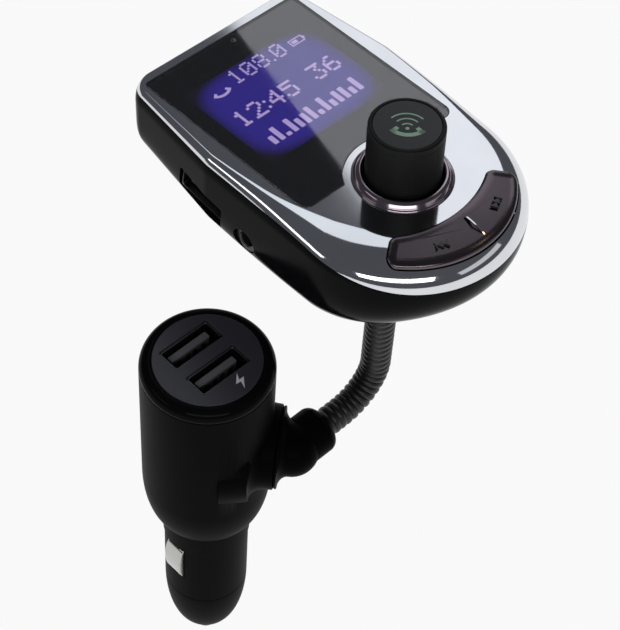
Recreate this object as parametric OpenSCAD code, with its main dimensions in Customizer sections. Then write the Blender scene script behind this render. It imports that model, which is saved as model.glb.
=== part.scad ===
// Car FM transmitter: a display head on a bendable neck, carried by a plug for a vehicle's
// 12 volt socket. Millimetres, +Z up along the plug's axis. The origin is the middle of the
// plug's collar, the round stretch that the socket's mouth holds.

/* [Plug] */
// Wall of the upper housing
housing_wall = 1.8; // [1.4:0.1:2.2]
// Distance from the swivel's axis up to the charging face
face_up = 31; // [28:0.5:38]
// Height of the rounded shoulder between collar and housing
shoulder_h = 15; // [12:0.5:17]
// Radius of the collar, the stretch that the socket's mouth holds
collar_r = 10.55; // [10.3:0.05:10.8]
// Length of the collar
collar_len = 10; // [8:0.5:12]
// How much slimmer the barrel is than the collar
barrel_step = 0.3; // [0.2:0.05:0.5]
// Length of the barrel below the collar
barrel_len = 22; // [20:0.5:26]
// Wall of the barrel
barrel_wall = 1.55; // [1.3:0.05:1.8]
// Length of the rounded nose cap
nose_len = 21.2; // [19:0.2:24]
// Radius of the nose cap's open end
nose_end_r = 4.2; // [4:0.1:5]
// Radius of the centre contact
tip_r = 3; // [2.6:0.1:3.2]
// How far the centre contact stands out of the nose cap
tip_out = 7.3; // [6:0.1:9]
// Travel of the sprung centre contact
tip_travel = 2.5; // [1.5:0.1:2.5]
// Length of the fuse behind the centre contact
fuse_len = 20; // [16:0.5:20]
// Radius of the fuse
fuse_r = 3.2; // [2.8:0.1:3.4]

/* [Ground clips] */
// Width of each side clip
clip_w = 5.4; // [4.6:0.1:6]
// Length of each side clip
clip_len = 12; // [10:0.5:13]
// How far a side clip stands out of the barrel
clip_out = 1.05; // [0.8:0.05:1.1]

/* [Charging face] */
// Height of the rounded bezel round the charging face
bezel_h = 3; // [2.6:0.1:3.6]
// Width of the bezel
bezel_w = 2.9; // [2.4:0.1:4]
// Width of the label plate outside the ports' corners
label_edge = 1.6; // [1.2:0.1:2.4]
// Thickness of the label plate
label_t = 1.4; // [1:0.1:1.6]
// Outer width of a charging port's metal shell
port_w = 13.6; // [13:0.1:14]
// Outer height of a charging port's metal shell
port_h = 5.7; // [5.4:0.1:6]
// Sheet thickness of a port's shell
port_wall = 0.3; // [0.25:0.05:0.4]
// Depth of a charging port
port_depth = 14; // [11:0.5:15]
// Distance between the two charging ports
port_pitch = 8.9; // [8.4:0.1:9.2]
// Offset of the pair of ports from the plug's axis
port_shift = 0.95; // [0:0.05:1.2]
// Gap beside the contact tongue in a port
tongue_gap = 0.95; // [0.8:0.05:1.3]
// Thickness of the contact tongue in a port
tongue_t = 1.8; // [1.6:0.1:2]

/* [Swivel and neck] */
// Height of the swivel boss above the collar's middle
boss_z = 32; // [31:0.5:36]
// Direction of the swivel boss round the plug, in degrees
boss_deg = -51; // [-54:1:-48]
// How much smaller the boss's seat is than the housing, in radius
boss_inset = 5.2; // [4.6:0.1:6.2]
// How far the boss's seat stands out of the housing's wall
boss_out = 1.4; // [1.2:0.1:2]
// Radius of the swivel's dome
dome_r = 6.5; // [6:0.1:7]
// Radius of the swivel's axle
axle_r = 3; // [2.6:0.1:3.4]
// Radius of the ferrule that the neck comes out of
ferrule_r = 5.8; // [5.4:0.1:6.2]
// Radius of the neck over its ribs
rib_r = 3.55; // [3.3:0.05:3.7]
// Depth of the grooves between the neck's ribs
rib_depth = 0.42; // [0.3:0.02:0.5]
// Distance from one rib to the next
rib_pitch = 1.8; // [1.6:0.05:2.2]
// Radius of the cable's way through the neck
neck_bore_r = 1.6; // [1.2:0.1:1.9]
// Radius of the neck's bend
bend_r = 11; // [10:0.5:13]
// Level run of the neck before its bend
neck_run = 9.3; // [9:0.1:12]
// Height of the neck's middle joint above the bend
side_joint_up = 15; // [12:0.5:16]
// Distance from the middle joint to the upper joint
top_joint_up = 12; // [10:0.5:13]
// Distance from the neck's upper joint to the head's underside
crown_up = 10.7; // [9.5:0.1:16]

/* [Head] */
// Half width of the head at its middle
mid_half_w = 27.3; // [26.8:0.1:28]
// How much narrower the head's upper end is, on each side
taper = 2.8; // [2:0.1:3.4]
// Distance from the knob's axis to the head's upper end
head_top = 59.2; // [57:0.2:62]
// Radius of the head's upper corners
corner_r = 5; // [4:0.2:6]
// Distance from the head's charging port down to its underside
port_floor = 4.5; // [3.6:0.1:7]
// Angle between the head's face and its underside, in degrees
wedge_deg = 8.5; // [7:0.5:9]
// Width of the rounding between the head's sides and its underside
under_round = 6.8; // [6:0.2:7.6]
// Wall of the head's rear shell
shell_wall = 2; // [1.6:0.1:2.4]
// Turn of the head about its width, in degrees
tilt_deg = -3.5; // [-5:0.5:-2]
// Turn of the head about its length, in degrees
lean_deg = 2.3; // [0:0.1:4]
// Distance from the knob's axis to the display glass
glass_low = 6.2; // [5:0.2:7]
// Width of the chrome rim between the glass and the head's edge
glass_rim = 2.8; // [2.6:0.05:3.6]
// Thickness of the display glass
glass_t = 1.1; // [0.8:0.1:1.4]
// Width of the dark border beside the lit part of the display
screen_side = 4; // [3.4:0.1:5]
// Length of the lit part of the display
screen_l = 28; // [26:0.2:29]
// Width of the dark border above the lit part of the display
screen_drop = 7.65; // [7:0.05:9]

/* [Knob and keys] */
// Radius of the knob
knob_r = 8.05; // [7.6:0.05:8.2]
// Height of the knob's top above the face
knob_h = 14.7; // [12:0.1:16]
// Clearance between the knob and the ring round it
ring_gap = 0.55; // [0.4:0.05:0.8]
// Width of the ring round the knob
ring_w = 2.15; // [1.8:0.05:2.6]
// Travel of the knob when it is pressed
knob_travel = 0.5; // [0.3:0.05:0.6]
// Radius of the knob's shaft
shaft_r = 3; // [2.8:0.05:3.1]
// Distance from the head's edge to the rocker key's outer edge
key_edge = 3; // [2.8:0.1:4]
// Radius of the rocker key's inner edge
key_in_r = 26; // [25:0.2:30]
// Distance between the knob's ring and the rocker key
key_clear = 4.15; // [3.4:0.05:4.8]
// Height of the rocker key above the face
key_proud = 0.5; // [0.3:0.05:0.8]
// Width of the groove in the middle of the rocker key
groove_w = 0.6; // [0.4:0.05:0.9]

/* [Side ports] */
// Distance from the knob's axis to the head's charging port
side_port_y = 33; // [31:0.5:34]
// Distance from the head's charging port to the audio jack
jack_shift = 14.1; // [12:0.1:15]
// Radius of the audio jack's bore
jack_r = 1.8; // [1.7:0.05:1.9]
// Depth of the audio jack's bore
jack_depth = 12; // [10:0.5:13]
// Width of the card slot
card_w = 11.6; // [11.2:0.1:12.4]
// Height of the card slot
card_h = 1.5; // [1.3:0.1:1.8]

/* [Hidden] */
$fn = 64;
over = 1;           // overrun of a cut past the face it opens
run_gap = 0.05;     // clearance of a pin or shaft that turns
slip_gap = 0.1;     // clearance between fixed pieces
play = 0.25;        // clearance round a key or clip that moves
board_t = 1.2;      // thickness of a circuit board
fillet = 0.6;       // small rounding and chamfer on plug pieces

// Radii and heights in the plug, counted from the collar's middle
port_corner = norm([port_w / 2, port_shift + (port_pitch + port_h) / 2]);
label_r = port_corner + label_edge;
housing_r = label_r + bezel_w;
barrel_r = collar_r - barrel_step;
face_z = boss_z + face_up;
collar_top = collar_len / 2;
collar_end = -collar_len / 2;
barrel_end = collar_end - barrel_len;
nose_end = barrel_end - nose_len;
shoulder_top = collar_top + shoulder_h;
bezel_z = face_z - bezel_h;
label_z = face_z - label_t;
barrel_in_r = barrel_r - barrel_wall;
spigot_r = barrel_in_r - slip_gap;
housing_in_r = housing_r - housing_wall;
spigot_h = shoulder_h - fillet;
skirt_len = 5.6;    // length of the nose cap's skirt inside the barrel
nose_bore_r = 5.6;  // room for the fuse inside the nose cap
flange_r = tip_r + 1.4 * fillet;
flange_t = 2;       // thickness of the centre contact's flange
nose_floor = 5;     // depth of plastic under the contact's flange
flange_z = nose_end + nose_floor;
fuse_z = flange_z + flange_t;
seat_t = 1.2;       // thickness of the spring's contact disc
seat_z = collar_end + fillet;
spring_wire = 0.5;  // wire of the contact's spring
spring_turns = 7;

// Clips, in the barrel's slots
clip_top = collar_end - fillet;
clip_mid = clip_top - clip_len / 2;
clip_back = 1;      // room for the clip's inner flange
clip_foot = 0.35;   // share of a clip's bow that its two ends keep
clip_flange_r = barrel_in_r - clip_back - play;

// Ports in the charging face
board_z = face_z - port_depth - board_t;
tongue_w = port_w - 2 * port_wall - 2 * tongue_gap;
tongue_base = 2.4;  // height of the plastic block that carries a tongue
tongue_step = 0.9;  // offset of a tongue from its port's middle
component_r = 3.6;  // radius of the capacitor and of the coil's core
component_h = 9;    // height of the capacitor and the coil

// Swivel, measured outward along the boss's axis
boss_r = housing_r - boss_inset;
seat_u = housing_r + boss_out;
dome_u = seat_u + slip_gap + 2.8 * fillet + 1.1 * board_t;
flare_h = dome_u - seat_u - slip_gap - fillet;
axle_u = housing_in_r - 3 * board_t;
hub_r = axle_r + 2 * fillet + 1.2 * board_t;
washer_t = 1;       // thickness of the washer on the axle's inner end
screw_head_r = 2.3; // radius of the head of the axle's screw
screw_head_t = 1.3; // thickness of that head
boss_flare_r = boss_r + 6 * fillet;
boss_flare_u = sqrt(pow(housing_r, 2) - pow(boss_flare_r, 2));

// Neck: a level run, a quarter bend and an upright run, all in one plane
dome_x = dome_u * cos(boss_deg);
neck_y = dome_u * sin(boss_deg);
collar_x = dome_x + dome_r + 2 * fillet;
collar_w = 1.8;     // width of the ring on the ferrule's end
neck_in = 3;        // how far the neck's ends reach into their sockets
neck_x0 = collar_x + collar_w - neck_in - 1.3 * fillet;
bend_x = neck_x0 + neck_run;
neck_x = bend_x + bend_r;
bend_top = boss_z + bend_r;
arc_len = bend_r * PI / 2;
groove_r = rib_r - rib_depth;
ball_rise = 0.15;   // rise of a joint's ball over the ribs, and its clearance in its cup
ball_r = rib_r + ball_rise;
cup_r = ball_r + ball_rise;
ball_start = 1.5;   // distance from a joint's centre to the first groove above it
bend_joint_deg = 45;
s_bend = neck_run + bend_r * bend_joint_deg * PI / 180;
s_side = neck_run + arc_len + side_joint_up;
s_top = s_side + top_joint_up;
neck_sides = 16;
rib_steps = 2;      // rings to a rib: its groove and its crest

// Head, in its own frame: x across, y toward the display's upper edge, z out of the face
low_r = mid_half_w - fillet / 2;
top_half_w = mid_half_w - taper;
glass_half_w = top_half_w - glass_rim;
glass_top = head_top - glass_rim - fillet / 4;
screen_w = 2 * (glass_half_w - screen_side);
screen_mid = glass_top - screen_drop - screen_l / 2;
ring_in_r = knob_r + ring_gap;
ring_r = ring_in_r + ring_w;
key_out_r = low_r - key_edge;
key_gap = ring_r + key_clear;
lip = 1.1;          // height of the faceplate's edge over the shell's rim
plate_t = 2.3;      // thickness of the faceplate
rim_inset = 1.3;    // inset of the shell's rim from its widest line
rim_wall = 1.5;     // wall of the shell at its rim
plate_inset = 1.45; // inset of the faceplate's edge from that line
bevel = 0.6;        // width of the bevel on the faceplate's edge
widest_z = -4.6;    // depth of the shell's widest line
mid_r = 12;         // radius of the outline's side curves
mid_y = 30;         // place of the side curves along the head
mid_turn = 8;       // turn of the side curves, in degrees
slice_t = 0.1;
plate_in = rim_inset + shell_wall + slip_gap;
module_t = 3;       // thickness of the display module
module_edge = 1.8;  // edge of the display module round its lit part
mic_x = 1.9;        // place of the microphone across the head
mic_drop = 2.2;     // distance from the glass's upper edge to the microphone
notch_gap = 1.6;    // distance between the knob's ring and the glass
board_gap = 0.7;    // clearance between the boards, and between a board and the display
face_board_z = -plate_t - module_t - board_gap - board_t;
face_board_half_w = mid_half_w - 6 * shell_wall + slip_gap;
switch_w = 3.4;     // width of a key's switch
switch_x = key_out_r * 0.42; // distance from the head's middle to a key's switch
key_drop = 0.5;     // room under the rocker key for its tilt
key_end_share = 0.62; // slope of the key's ends
screw_r = 0.9;      // radius of a case screw's shank
screw_head = 1.7;   // radius of a case screw's head
screw_bite = 2;     // how far a case screw reaches into its post
screw_sink = 2.6;   // depth of the seat of a case screw's head
screw_head_h = 1.1; // height of a case screw's head
screw_boss_r = 2.6; // radius of the shell's bosses under the posts
post_r = 2;         // radius of the posts that the case screws hold
post_edge = 6.6;    // distance from the posts to the head's edge
post_mid = 1;       // place of the lower posts along the head
post_low = [mid_half_w - post_edge - fillet, post_mid];
post_high = [top_half_w - post_edge, head_top - post_edge];
post_len = 10;      // length of the posts under the faceplate
side_x = mid_half_w - fillet;
side_wall_in = mid_half_w - shell_wall - 2 * fillet;
side_port_depth = 12;
jack_out_r = 3.1;   // radius of the audio jack's body
jack_y = side_port_y - jack_shift;
jack_board_up = jack_out_r + 2 * slip_gap;
jack_board_high = port_w / 2 + fillet;
side_port_z = face_board_z - board_gap - (jack_board_up + board_t) * cos(wedge_deg)
    - jack_board_high * tan(wedge_deg);
head_depth = port_h / 2 + port_floor + side_port_y * tan(wedge_deg) - side_port_z;
under_z = -head_depth;
pad_r = 7.8;        // radius of the flat pad round the neck's socket
pad_h = 4.8;        // height of the pad, up into the shell's floor
pad_out = 1.4;      // how far the pad stands under the shell's lowest level
neck_off = 2;       // distance from the knob's axis to the neck's, on the underside
socket_h = 5.4;     // length of the socket's visible cone
socket_r = 6.6;     // radius of the socket's upper end
socket_low_r = 4.9; // radius of the socket's lower end
socket_core_r = 5.3;
nut_t = 1.4;        // thickness of the nut inside the shell
nut_wall = 1.8;     // width of that nut round its bore
encoder_h = 2.6;    // height of the dial encoder's body
rotor_h = 3.6;      // height of the encoder's rotor
rotor_wall = 1;     // wall of that rotor
knob_wall = 1.2;    // wall of the knob's skirt and hub
knob_top_t = 1.8;   // thickness of the knob's top
// Height and inset of each level of the rounding round the underside, as shares of its width
under_shares = [[0.81, 0.07], [0.38, 0.32], [0.12, 0.65], [0, 1]];
pad_z = bend_top + side_joint_up + top_joint_up + crown_up;
head_z = pad_z + pad_out + head_depth;
nut_z = pad_z + pad_h + slip_gap;
head_x = neck_x + head_depth * tan(lean_deg);
head_y = neck_y - neck_off - head_depth * tan(tilt_deg);

function arc_points(c, r, a0, a1, n) =
    [for (i = [0:n]) c + r * [cos(a0 + (a1 - a0) * i / n), sin(a0 + (a1 - a0) * i / n)]];

function mirrored(points) = [for (i = [len(points) - 1:-1:0]) [-points[i][0], points[i][1]]];

// Right half of the head's outline, drawn in by an inset
function head_side(inset) = let (r = max(corner_r - inset, fillet)) concat(
    arc_points([0, mid_half_w - low_r], low_r - inset, -90, 0, 16),
    arc_points([mid_half_w - mid_r, mid_y], mid_r - inset, 0, mid_turn, 2),
    arc_points([top_half_w - inset - r, head_top - inset - r], r, mid_turn, 90, 6));

function head_outline(inset) = concat(head_side(inset), mirrored(head_side(inset)));

// Where the neck's centre line is, and its slope in degrees, at a length along it
function neck_deg(s) = s < neck_run ? 0 : s > neck_run + arc_len ? 90 : (s - neck_run) / bend_r * 180 / PI;
function neck_point(s) =
    s < neck_run ? [neck_x0 + s, neck_y, boss_z] :
    s > neck_run + arc_len ? [neck_x, neck_y, bend_top + s - neck_run - arc_len] :
    [bend_x + bend_r * sin(neck_deg(s)), neck_y, bend_top - bend_r * cos(neck_deg(s))];
function neck_ring(s, r) = let (t = neck_deg(s), p = neck_point(s)) [
    for (k = [0:neck_sides - 1]) let (a = 360 * k / neck_sides)
        p + r * [-cos(a) * sin(t), -sin(a), cos(a) * cos(t)]];

// A ribbed stretch of the neck with the cable's way through it, as one swept tube
module neck_stretch(s0, s1) {
    steps = round((s1 - s0) / rib_pitch) * rib_steps;
    n = neck_sides;
    m = steps + 1;
    function at(i) = s0 + (s1 - s0) * i / steps;
    outer = [for (i = [0:steps]) each neck_ring(at(i), i % rib_steps == 0 ? groove_r : rib_r)];
    inner = [for (i = [0:steps]) each neck_ring(at(i), neck_bore_r)];
    function o(i, k) = i * n + k % n;
    function b(i, k) = (m + i) * n + k % n;
    side = [for (i = [0:steps - 1], k = [0:n - 1]) each [
        [o(i, k), o(i + 1, k), o(i + 1, k + 1)], [o(i, k), o(i + 1, k + 1), o(i, k + 1)],
        [b(i, k), b(i + 1, k + 1), b(i + 1, k)], [b(i, k), b(i, k + 1), b(i + 1, k + 1)]]];
    ends = [for (k = [0:n - 1]) each [
        [o(0, k), o(0, k + 1), b(0, k + 1)], [o(0, k), b(0, k + 1), b(0, k)],
        [o(steps, k), b(steps, k + 1), o(steps, k + 1)], [o(steps, k), b(steps, k), b(steps, k + 1)]]];
    polyhedron(concat(outer, inner), concat(side, ends), convexity = 6);
}

// A neck piece: its stretch, a ball on the joint below it and a cup for the ball above
module neck_piece(s0, s1) {
    difference() {
        union() {
            neck_stretch(s0 + ball_start, s1);
            difference() {
                translate(neck_point(s0)) sphere(ball_r);
                translate(neck_point(s0)) rotate([0, 90 - neck_deg(s0), 0])
                    cylinder(h = 2 * ball_r + over, r = neck_bore_r, center = true);
            }
        }
        translate(neck_point(s1)) sphere(cup_r);
    }
}

// Places children on the swivel's axis, with z pointing out of the housing
module on_boss() {
    translate([0, 0, boss_z]) rotate([0, 0, boss_deg]) rotate([0, 90, 0]) children();
}

// Places children in the head's frame
module in_head() {
    translate([head_x, head_y, head_z]) rotate([tilt_deg, lean_deg, 0]) children();
}

// Places children in the tilted frame of the head's underside, at a depth under the face
module on_wedge(z) {
    translate([0, 0, z]) rotate([wedge_deg, 0, 0]) children();
}

module tube(r, bore, h) {
    difference() {
        cylinder(h = h, r = r);
        translate([0, 0, -over]) cylinder(h = h + 2 * over, r = bore);
    }
}

module box(w, l, h) {
    translate([-w / 2, -l / 2, 0]) cube([w, l, h]);
}

module round_box(w, l, h, r) {
    linear_extrude(h) rounded(w, l, r);
}

// A rectangle with round corners
module rounded(w, l, r) {
    polygon([for (q = [[1, 1, 0], [-1, 1, 90], [-1, -1, 180], [1, -1, 270]])
        each arc_points([q[0] * (w / 2 - r), q[1] * (l / 2 - r)], r, q[2], q[2] + 90, 4)]);
}

module plug_housing() {
    grow = housing_r - collar_r - fillet / 2;
    shoulder = [for (a = [90:-10:0]) [housing_r - grow * (1 - cos(a)), shoulder_top - shoulder_h * sin(a)]];
    color([0.09, 0.09, 0.1]) difference() {
        union() {
            rotate_extrude()
                polygon(concat([[0, collar_top]], shoulder, [[housing_r, bezel_z], [0, bezel_z]]));
            on_boss() translate([0, 0, boss_flare_u])
                cylinder(h = seat_u - boss_flare_u, r1 = boss_flare_r, r2 = boss_r);
        }
        translate([0, 0, shoulder_top + fillet]) difference() {
            cylinder(h = bezel_z - shoulder_top, r = housing_in_r);
            translate([0, 0, -shoulder_top - fillet]) on_boss()
                translate([0, 0, axle_u]) cylinder(h = housing_r, r = hub_r);
        }
        translate([0, 0, collar_top - over]) cylinder(h = shoulder_h + fillet + 2 * over, r = barrel_in_r);
        on_boss() cylinder(h = seat_u + over, r = axle_r + run_gap);
        translate([0, 0, bezel_z]) cylinder(h = bezel_h + boss_r, r = 2 * housing_r);
    }
}

module bezel_ring() {
    ledge_r = label_r - fillet;
    skirt = housing_in_r - slip_gap;
    rise = bezel_h - fillet / 2;
    slope = [for (a = [0:15:90])
        [label_r + slip_gap + fillet / 2 + (housing_r - label_r - slip_gap - fillet / 2) * cos(a),
         bezel_z + fillet / 2 + rise * sin(a)]];
    color([0.2, 0.2, 0.22]) rotate_extrude() polygon(concat(
        [[ledge_r, bezel_z - 2 * fillet], [skirt, bezel_z - 2 * fillet], [skirt, bezel_z],
         [housing_r, bezel_z]],
        slope, [[label_r + slip_gap, face_z], [label_r + slip_gap, label_z], [ledge_r, label_z]]));
}

// Places children at one of the two charging ports; side is 1 for the rear one
module at_port(side) {
    translate([0, port_shift + side * port_pitch / 2, 0]) children();
}

module label_plate() {
    color([0.27, 0.26, 0.3]) difference() {
        translate([0, 0, label_z]) cylinder(h = label_t, r = label_r);
        for (side = [-1, 1]) at_port(side) translate([0, 0, label_z - over])
            box(port_w + 2 * slip_gap, port_h + 2 * slip_gap, label_t + 2 * over);
    }
}

// A port's folded metal shell, open at its mouth
module port_shell(depth) {
    difference() {
        box(port_w, port_h, depth);
        translate([0, 0, -over]) box(port_w - 2 * port_wall, port_h - 2 * port_wall, depth + 2 * over);
    }
}

// A port's contact tongue on its plastic block
module port_tongue(depth) {
    box(port_w - 2 * port_wall - slip_gap, port_h - 2 * port_wall - slip_gap, tongue_base);
    translate([0, tongue_step, 0]) box(tongue_w, tongue_t, depth - port_h / 4);
}

module port_shell_rear() {
    color([0.75, 0.75, 0.77]) at_port(1) translate([0, 0, face_z - port_depth]) port_shell(port_depth);
}

module port_shell_front() {
    color([0.75, 0.75, 0.77]) at_port(-1) translate([0, 0, face_z - port_depth]) port_shell(port_depth);
}

module port_tongue_rear() {
    color([0.12, 0.12, 0.13]) at_port(1) translate([0, 0, face_z - port_depth]) port_tongue(port_depth);
}

module port_tongue_front() {
    color([0.12, 0.12, 0.13]) at_port(-1) translate([0, 0, face_z - port_depth]) port_tongue(port_depth);
}

module port_board() {
    color([0.05, 0.3, 0.16]) translate([0, 0, board_z]) cylinder(h = board_t, r = housing_in_r - slip_gap);
}

module charge_board() {
    low = shoulder_top + fillet;
    color([0.05, 0.3, 0.16]) rotate([0, 0, boss_deg]) translate([0, 0, low])
        box(board_t, 1.3 * housing_in_r, board_z - low);
}

module capacitor() {
    color([0.15, 0.15, 0.4]) rotate([0, 0, boss_deg])
        translate([-component_r - board_t, component_r + fillet, board_z - component_h])
            cylinder(h = component_h, r = component_r);
}

module choke() {
    color([0.35, 0.2, 0.1]) rotate([0, 0, boss_deg])
        translate([-component_r - board_t, -component_r - fillet, board_z - component_h])
            tube(component_r, component_r / 2, component_h);
}

module plug_barrel() {
    color([0.07, 0.07, 0.08]) difference() {
        rotate_extrude() polygon([
            [barrel_in_r - 2 * barrel_wall / 3, collar_top + spigot_h], [spigot_r, collar_top + spigot_h],
            [spigot_r, collar_top], [collar_r, collar_top], [collar_r, collar_end],
            [barrel_r, collar_end - fillet / 4], [barrel_r, barrel_end], [barrel_in_r, barrel_end],
            [barrel_in_r, seat_z + seat_t], [barrel_in_r - 2 * barrel_wall / 3, seat_z + seat_t + fillet]]);
        for (side = [-1, 1]) translate([side * barrel_r, 0, clip_mid - clip_len / 2 - play])
            box(3 * barrel_wall, clip_w + 2 * play, clip_len + 2 * play);
    }
}

module nose_cap() {
    curve = [for (a = [0:10:80])
        [nose_end_r + (barrel_r - nose_end_r) * cos(a), barrel_end - nose_len * sin(a)]];
    color([0.1, 0.1, 0.11]) rotate_extrude() polygon(concat(
        [[nose_bore_r, barrel_end + skirt_len], [spigot_r, barrel_end + skirt_len], [spigot_r, barrel_end]],
        curve, [[nose_end_r, nose_end], [tip_r + run_gap, nose_end], [tip_r + run_gap, flange_z],
        [nose_bore_r - 1.6 * fillet, flange_z], [nose_bore_r - 1.6 * fillet, fuse_z + tip_travel],
        [nose_bore_r, fuse_z + tip_travel + 3 * fillet]]));
}

module tip_contact() {
    color([0.45, 0.45, 0.44]) rotate_extrude() polygon([
        [0, nose_end - tip_out], [tip_r / 2, nose_end - tip_out], [tip_r, nose_end - tip_out + tip_r / 2],
        [tip_r, flange_z], [flange_r, flange_z], [flange_r, fuse_z], [0, fuse_z]]);
}

module fuse() {
    cap = 5 * fillet;
    color([0.8, 0.8, 0.78]) translate([0, 0, fuse_z]) rotate_extrude() polygon([
        [0, 0], [fuse_r, 0], [fuse_r, cap], [fuse_r - fillet / 2, cap],
        [fuse_r - fillet / 2, fuse_len - cap], [fuse_r, fuse_len - cap], [fuse_r, fuse_len], [0, fuse_len]]);
}

// The contact's spring, as its wire wound in a helix
module tip_spring() {
    low = fuse_z + fuse_len + spring_wire / 2 + slip_gap;
    high = seat_z - spring_wire / 2 - slip_gap;
    r = fuse_r - spring_wire;
    turn = 16;
    sides = 6;
    steps = spring_turns * turn;
    points = [for (i = [0:steps], k = [0:sides - 1]) let (a = 360 * i / turn, b = 360 * k / sides)
        [(r + spring_wire / 2 * cos(b)) * cos(a), (r + spring_wire / 2 * cos(b)) * sin(a),
         low + (high - low) * i / steps + spring_wire / 2 * sin(b)]];
    function p(i, k) = i * sides + k % sides;
    faces = concat(
        [for (i = [0:steps - 1], k = [0:sides - 1]) each [
            [p(i, k), p(i + 1, k + 1), p(i + 1, k)], [p(i, k), p(i, k + 1), p(i + 1, k + 1)]]],
        [[for (k = [sides - 1:-1:0]) p(0, k)], [for (k = [0:sides - 1]) p(steps, k)]]);
    color([0.7, 0.7, 0.7]) polyhedron(points, faces, convexity = 10);
}

module spring_seat() {
    color([0.8, 0.65, 0.3]) translate([0, 0, seat_z]) cylinder(h = seat_t, r = barrel_in_r - slip_gap);
}

// A bowed spring contact with an inner flange; side is -1 on the left
module clip(side) {
    bow = clip_out + barrel_wall;
    outer = [for (q = [-90:15:90])
        [barrel_in_r + bow * (clip_foot + (1 - clip_foot) * cos(q)), clip_mid + clip_len / 2 * sin(q)]];
    color([0.8, 0.8, 0.78]) mirror([side < 0 ? 1 : 0, 0, 0]) {
        translate([0, clip_w / 2, 0]) rotate([90, 0, 0]) linear_extrude(clip_w)
            polygon(concat([[clip_flange_r, clip_mid - clip_len / 2]], outer,
                [[clip_flange_r, clip_mid + clip_len / 2]]));
        translate([clip_flange_r, -clip_w / 2 - 2 * play, clip_mid - clip_len / 2])
            cube([clip_back / 2, clip_w + 4 * play, clip_len]);
    }
}

module clip_left() {
    clip(-1);
}

module clip_right() {
    clip(1);
}

module swivel_elbow() {
    low = seat_u + slip_gap;
    flare_r = boss_r - fillet / 2;
    flare = [for (a = [0:15:90])
        [flare_r - (flare_r - dome_r) * sin(a), low + fillet + flare_h * (1 - cos(a))]];
    dome = [for (a = [10:10:90]) [dome_r * cos(a), dome_u + dome_r * sin(a)]];
    color([0.1, 0.1, 0.11]) {
        difference() {
            union() {
                on_boss() rotate_extrude() polygon(concat([[0, low], [flare_r, low]], flare, dome));
                translate([dome_x, neck_y, boss_z]) rotate([0, 90, 0])
                    cylinder(h = collar_x - dome_x, r = ferrule_r);
            }
            on_boss() cylinder(h = low, r = 2 * housing_r);
            translate([neck_x0 - slip_gap, neck_y, boss_z]) rotate([0, 90, 0])
                cylinder(h = neck_run, r = rib_r + slip_gap);
            translate([dome_x, neck_y, boss_z]) rotate([0, 90, 0])
                cylinder(h = neck_run, r = neck_bore_r);
        }
        on_boss() translate([0, 0, axle_u - slip_gap]) cylinder(h = low - axle_u + 2 * slip_gap, r = axle_r);
    }
}

module swivel_screw() {
    color([0.6, 0.6, 0.62]) on_boss() {
        translate([0, 0, axle_u - slip_gap - washer_t]) cylinder(h = washer_t, r = axle_r + 2 * fillet);
        translate([0, 0, axle_u - slip_gap - washer_t - screw_head_t])
            cylinder(h = screw_head_t, r = screw_head_r);
    }
}

module neck_collar() {
    end_r = rib_r + 1.2 * fillet;
    round = [for (a = [0:15:90]) [end_r + (ferrule_r - end_r) * cos(a), collar_w * sin(a)]];
    color([0.13, 0.13, 0.14]) translate([collar_x, neck_y, boss_z]) rotate([0, 90, 0]) rotate_extrude()
        polygon(concat([[rib_r + slip_gap, 0]], round, [[rib_r + slip_gap, collar_w]]));
}

module neck_root() {
    color([0.17, 0.17, 0.17]) difference() {
        neck_stretch(0, s_bend);
        translate(neck_point(s_bend)) sphere(cup_r);
    }
}

module neck_bend() {
    color([0.17, 0.17, 0.17]) neck_piece(s_bend, s_side);
}

module neck_mid() {
    color([0.17, 0.17, 0.17]) neck_piece(s_side, s_top);
}

module neck_crown() {
    low = bend_top + side_joint_up + top_joint_up;
    color([0.17, 0.17, 0.17]) {
        neck_stretch(s_top + ball_start, s_top + pad_z + neck_in - low);
        translate([neck_x, neck_y, low]) difference() {
            sphere(ball_r);
            cylinder(h = 2 * ball_r + over, r = neck_bore_r, center = true);
        }
    }
}

module neck_socket() {
    color([0.1, 0.1, 0.11]) translate([neck_x, neck_y, pad_z]) rotate_extrude() polygon([
        [rib_r + slip_gap, -socket_h], [socket_low_r - fillet / 2, -socket_h],
        [socket_low_r, -socket_h + fillet],
        [socket_r, -fillet], [socket_r, 0], [socket_core_r, 0], [socket_core_r, nut_z - pad_z + nut_t],
        [neck_bore_r + fillet, nut_z - pad_z + nut_t], [neck_bore_r + fillet, neck_in + slip_gap],
        [rib_r + slip_gap, neck_in + slip_gap]]);
}

module neck_nut() {
    color([0.6, 0.6, 0.62]) translate([neck_x, neck_y, nut_z])
        tube(socket_core_r + nut_wall, socket_core_r + slip_gap / 2, nut_t);
}

// One level slice of the head's outline, and one parallel to its underside
module level_slice(z, inset) {
    translate([0, 0, z]) linear_extrude(slice_t) polygon(head_outline(inset));
}

module under_slice(up, inset) {
    on_wedge(under_z) translate([0, 0, up]) linear_extrude(slice_t) polygon(head_outline(inset));
}

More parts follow.
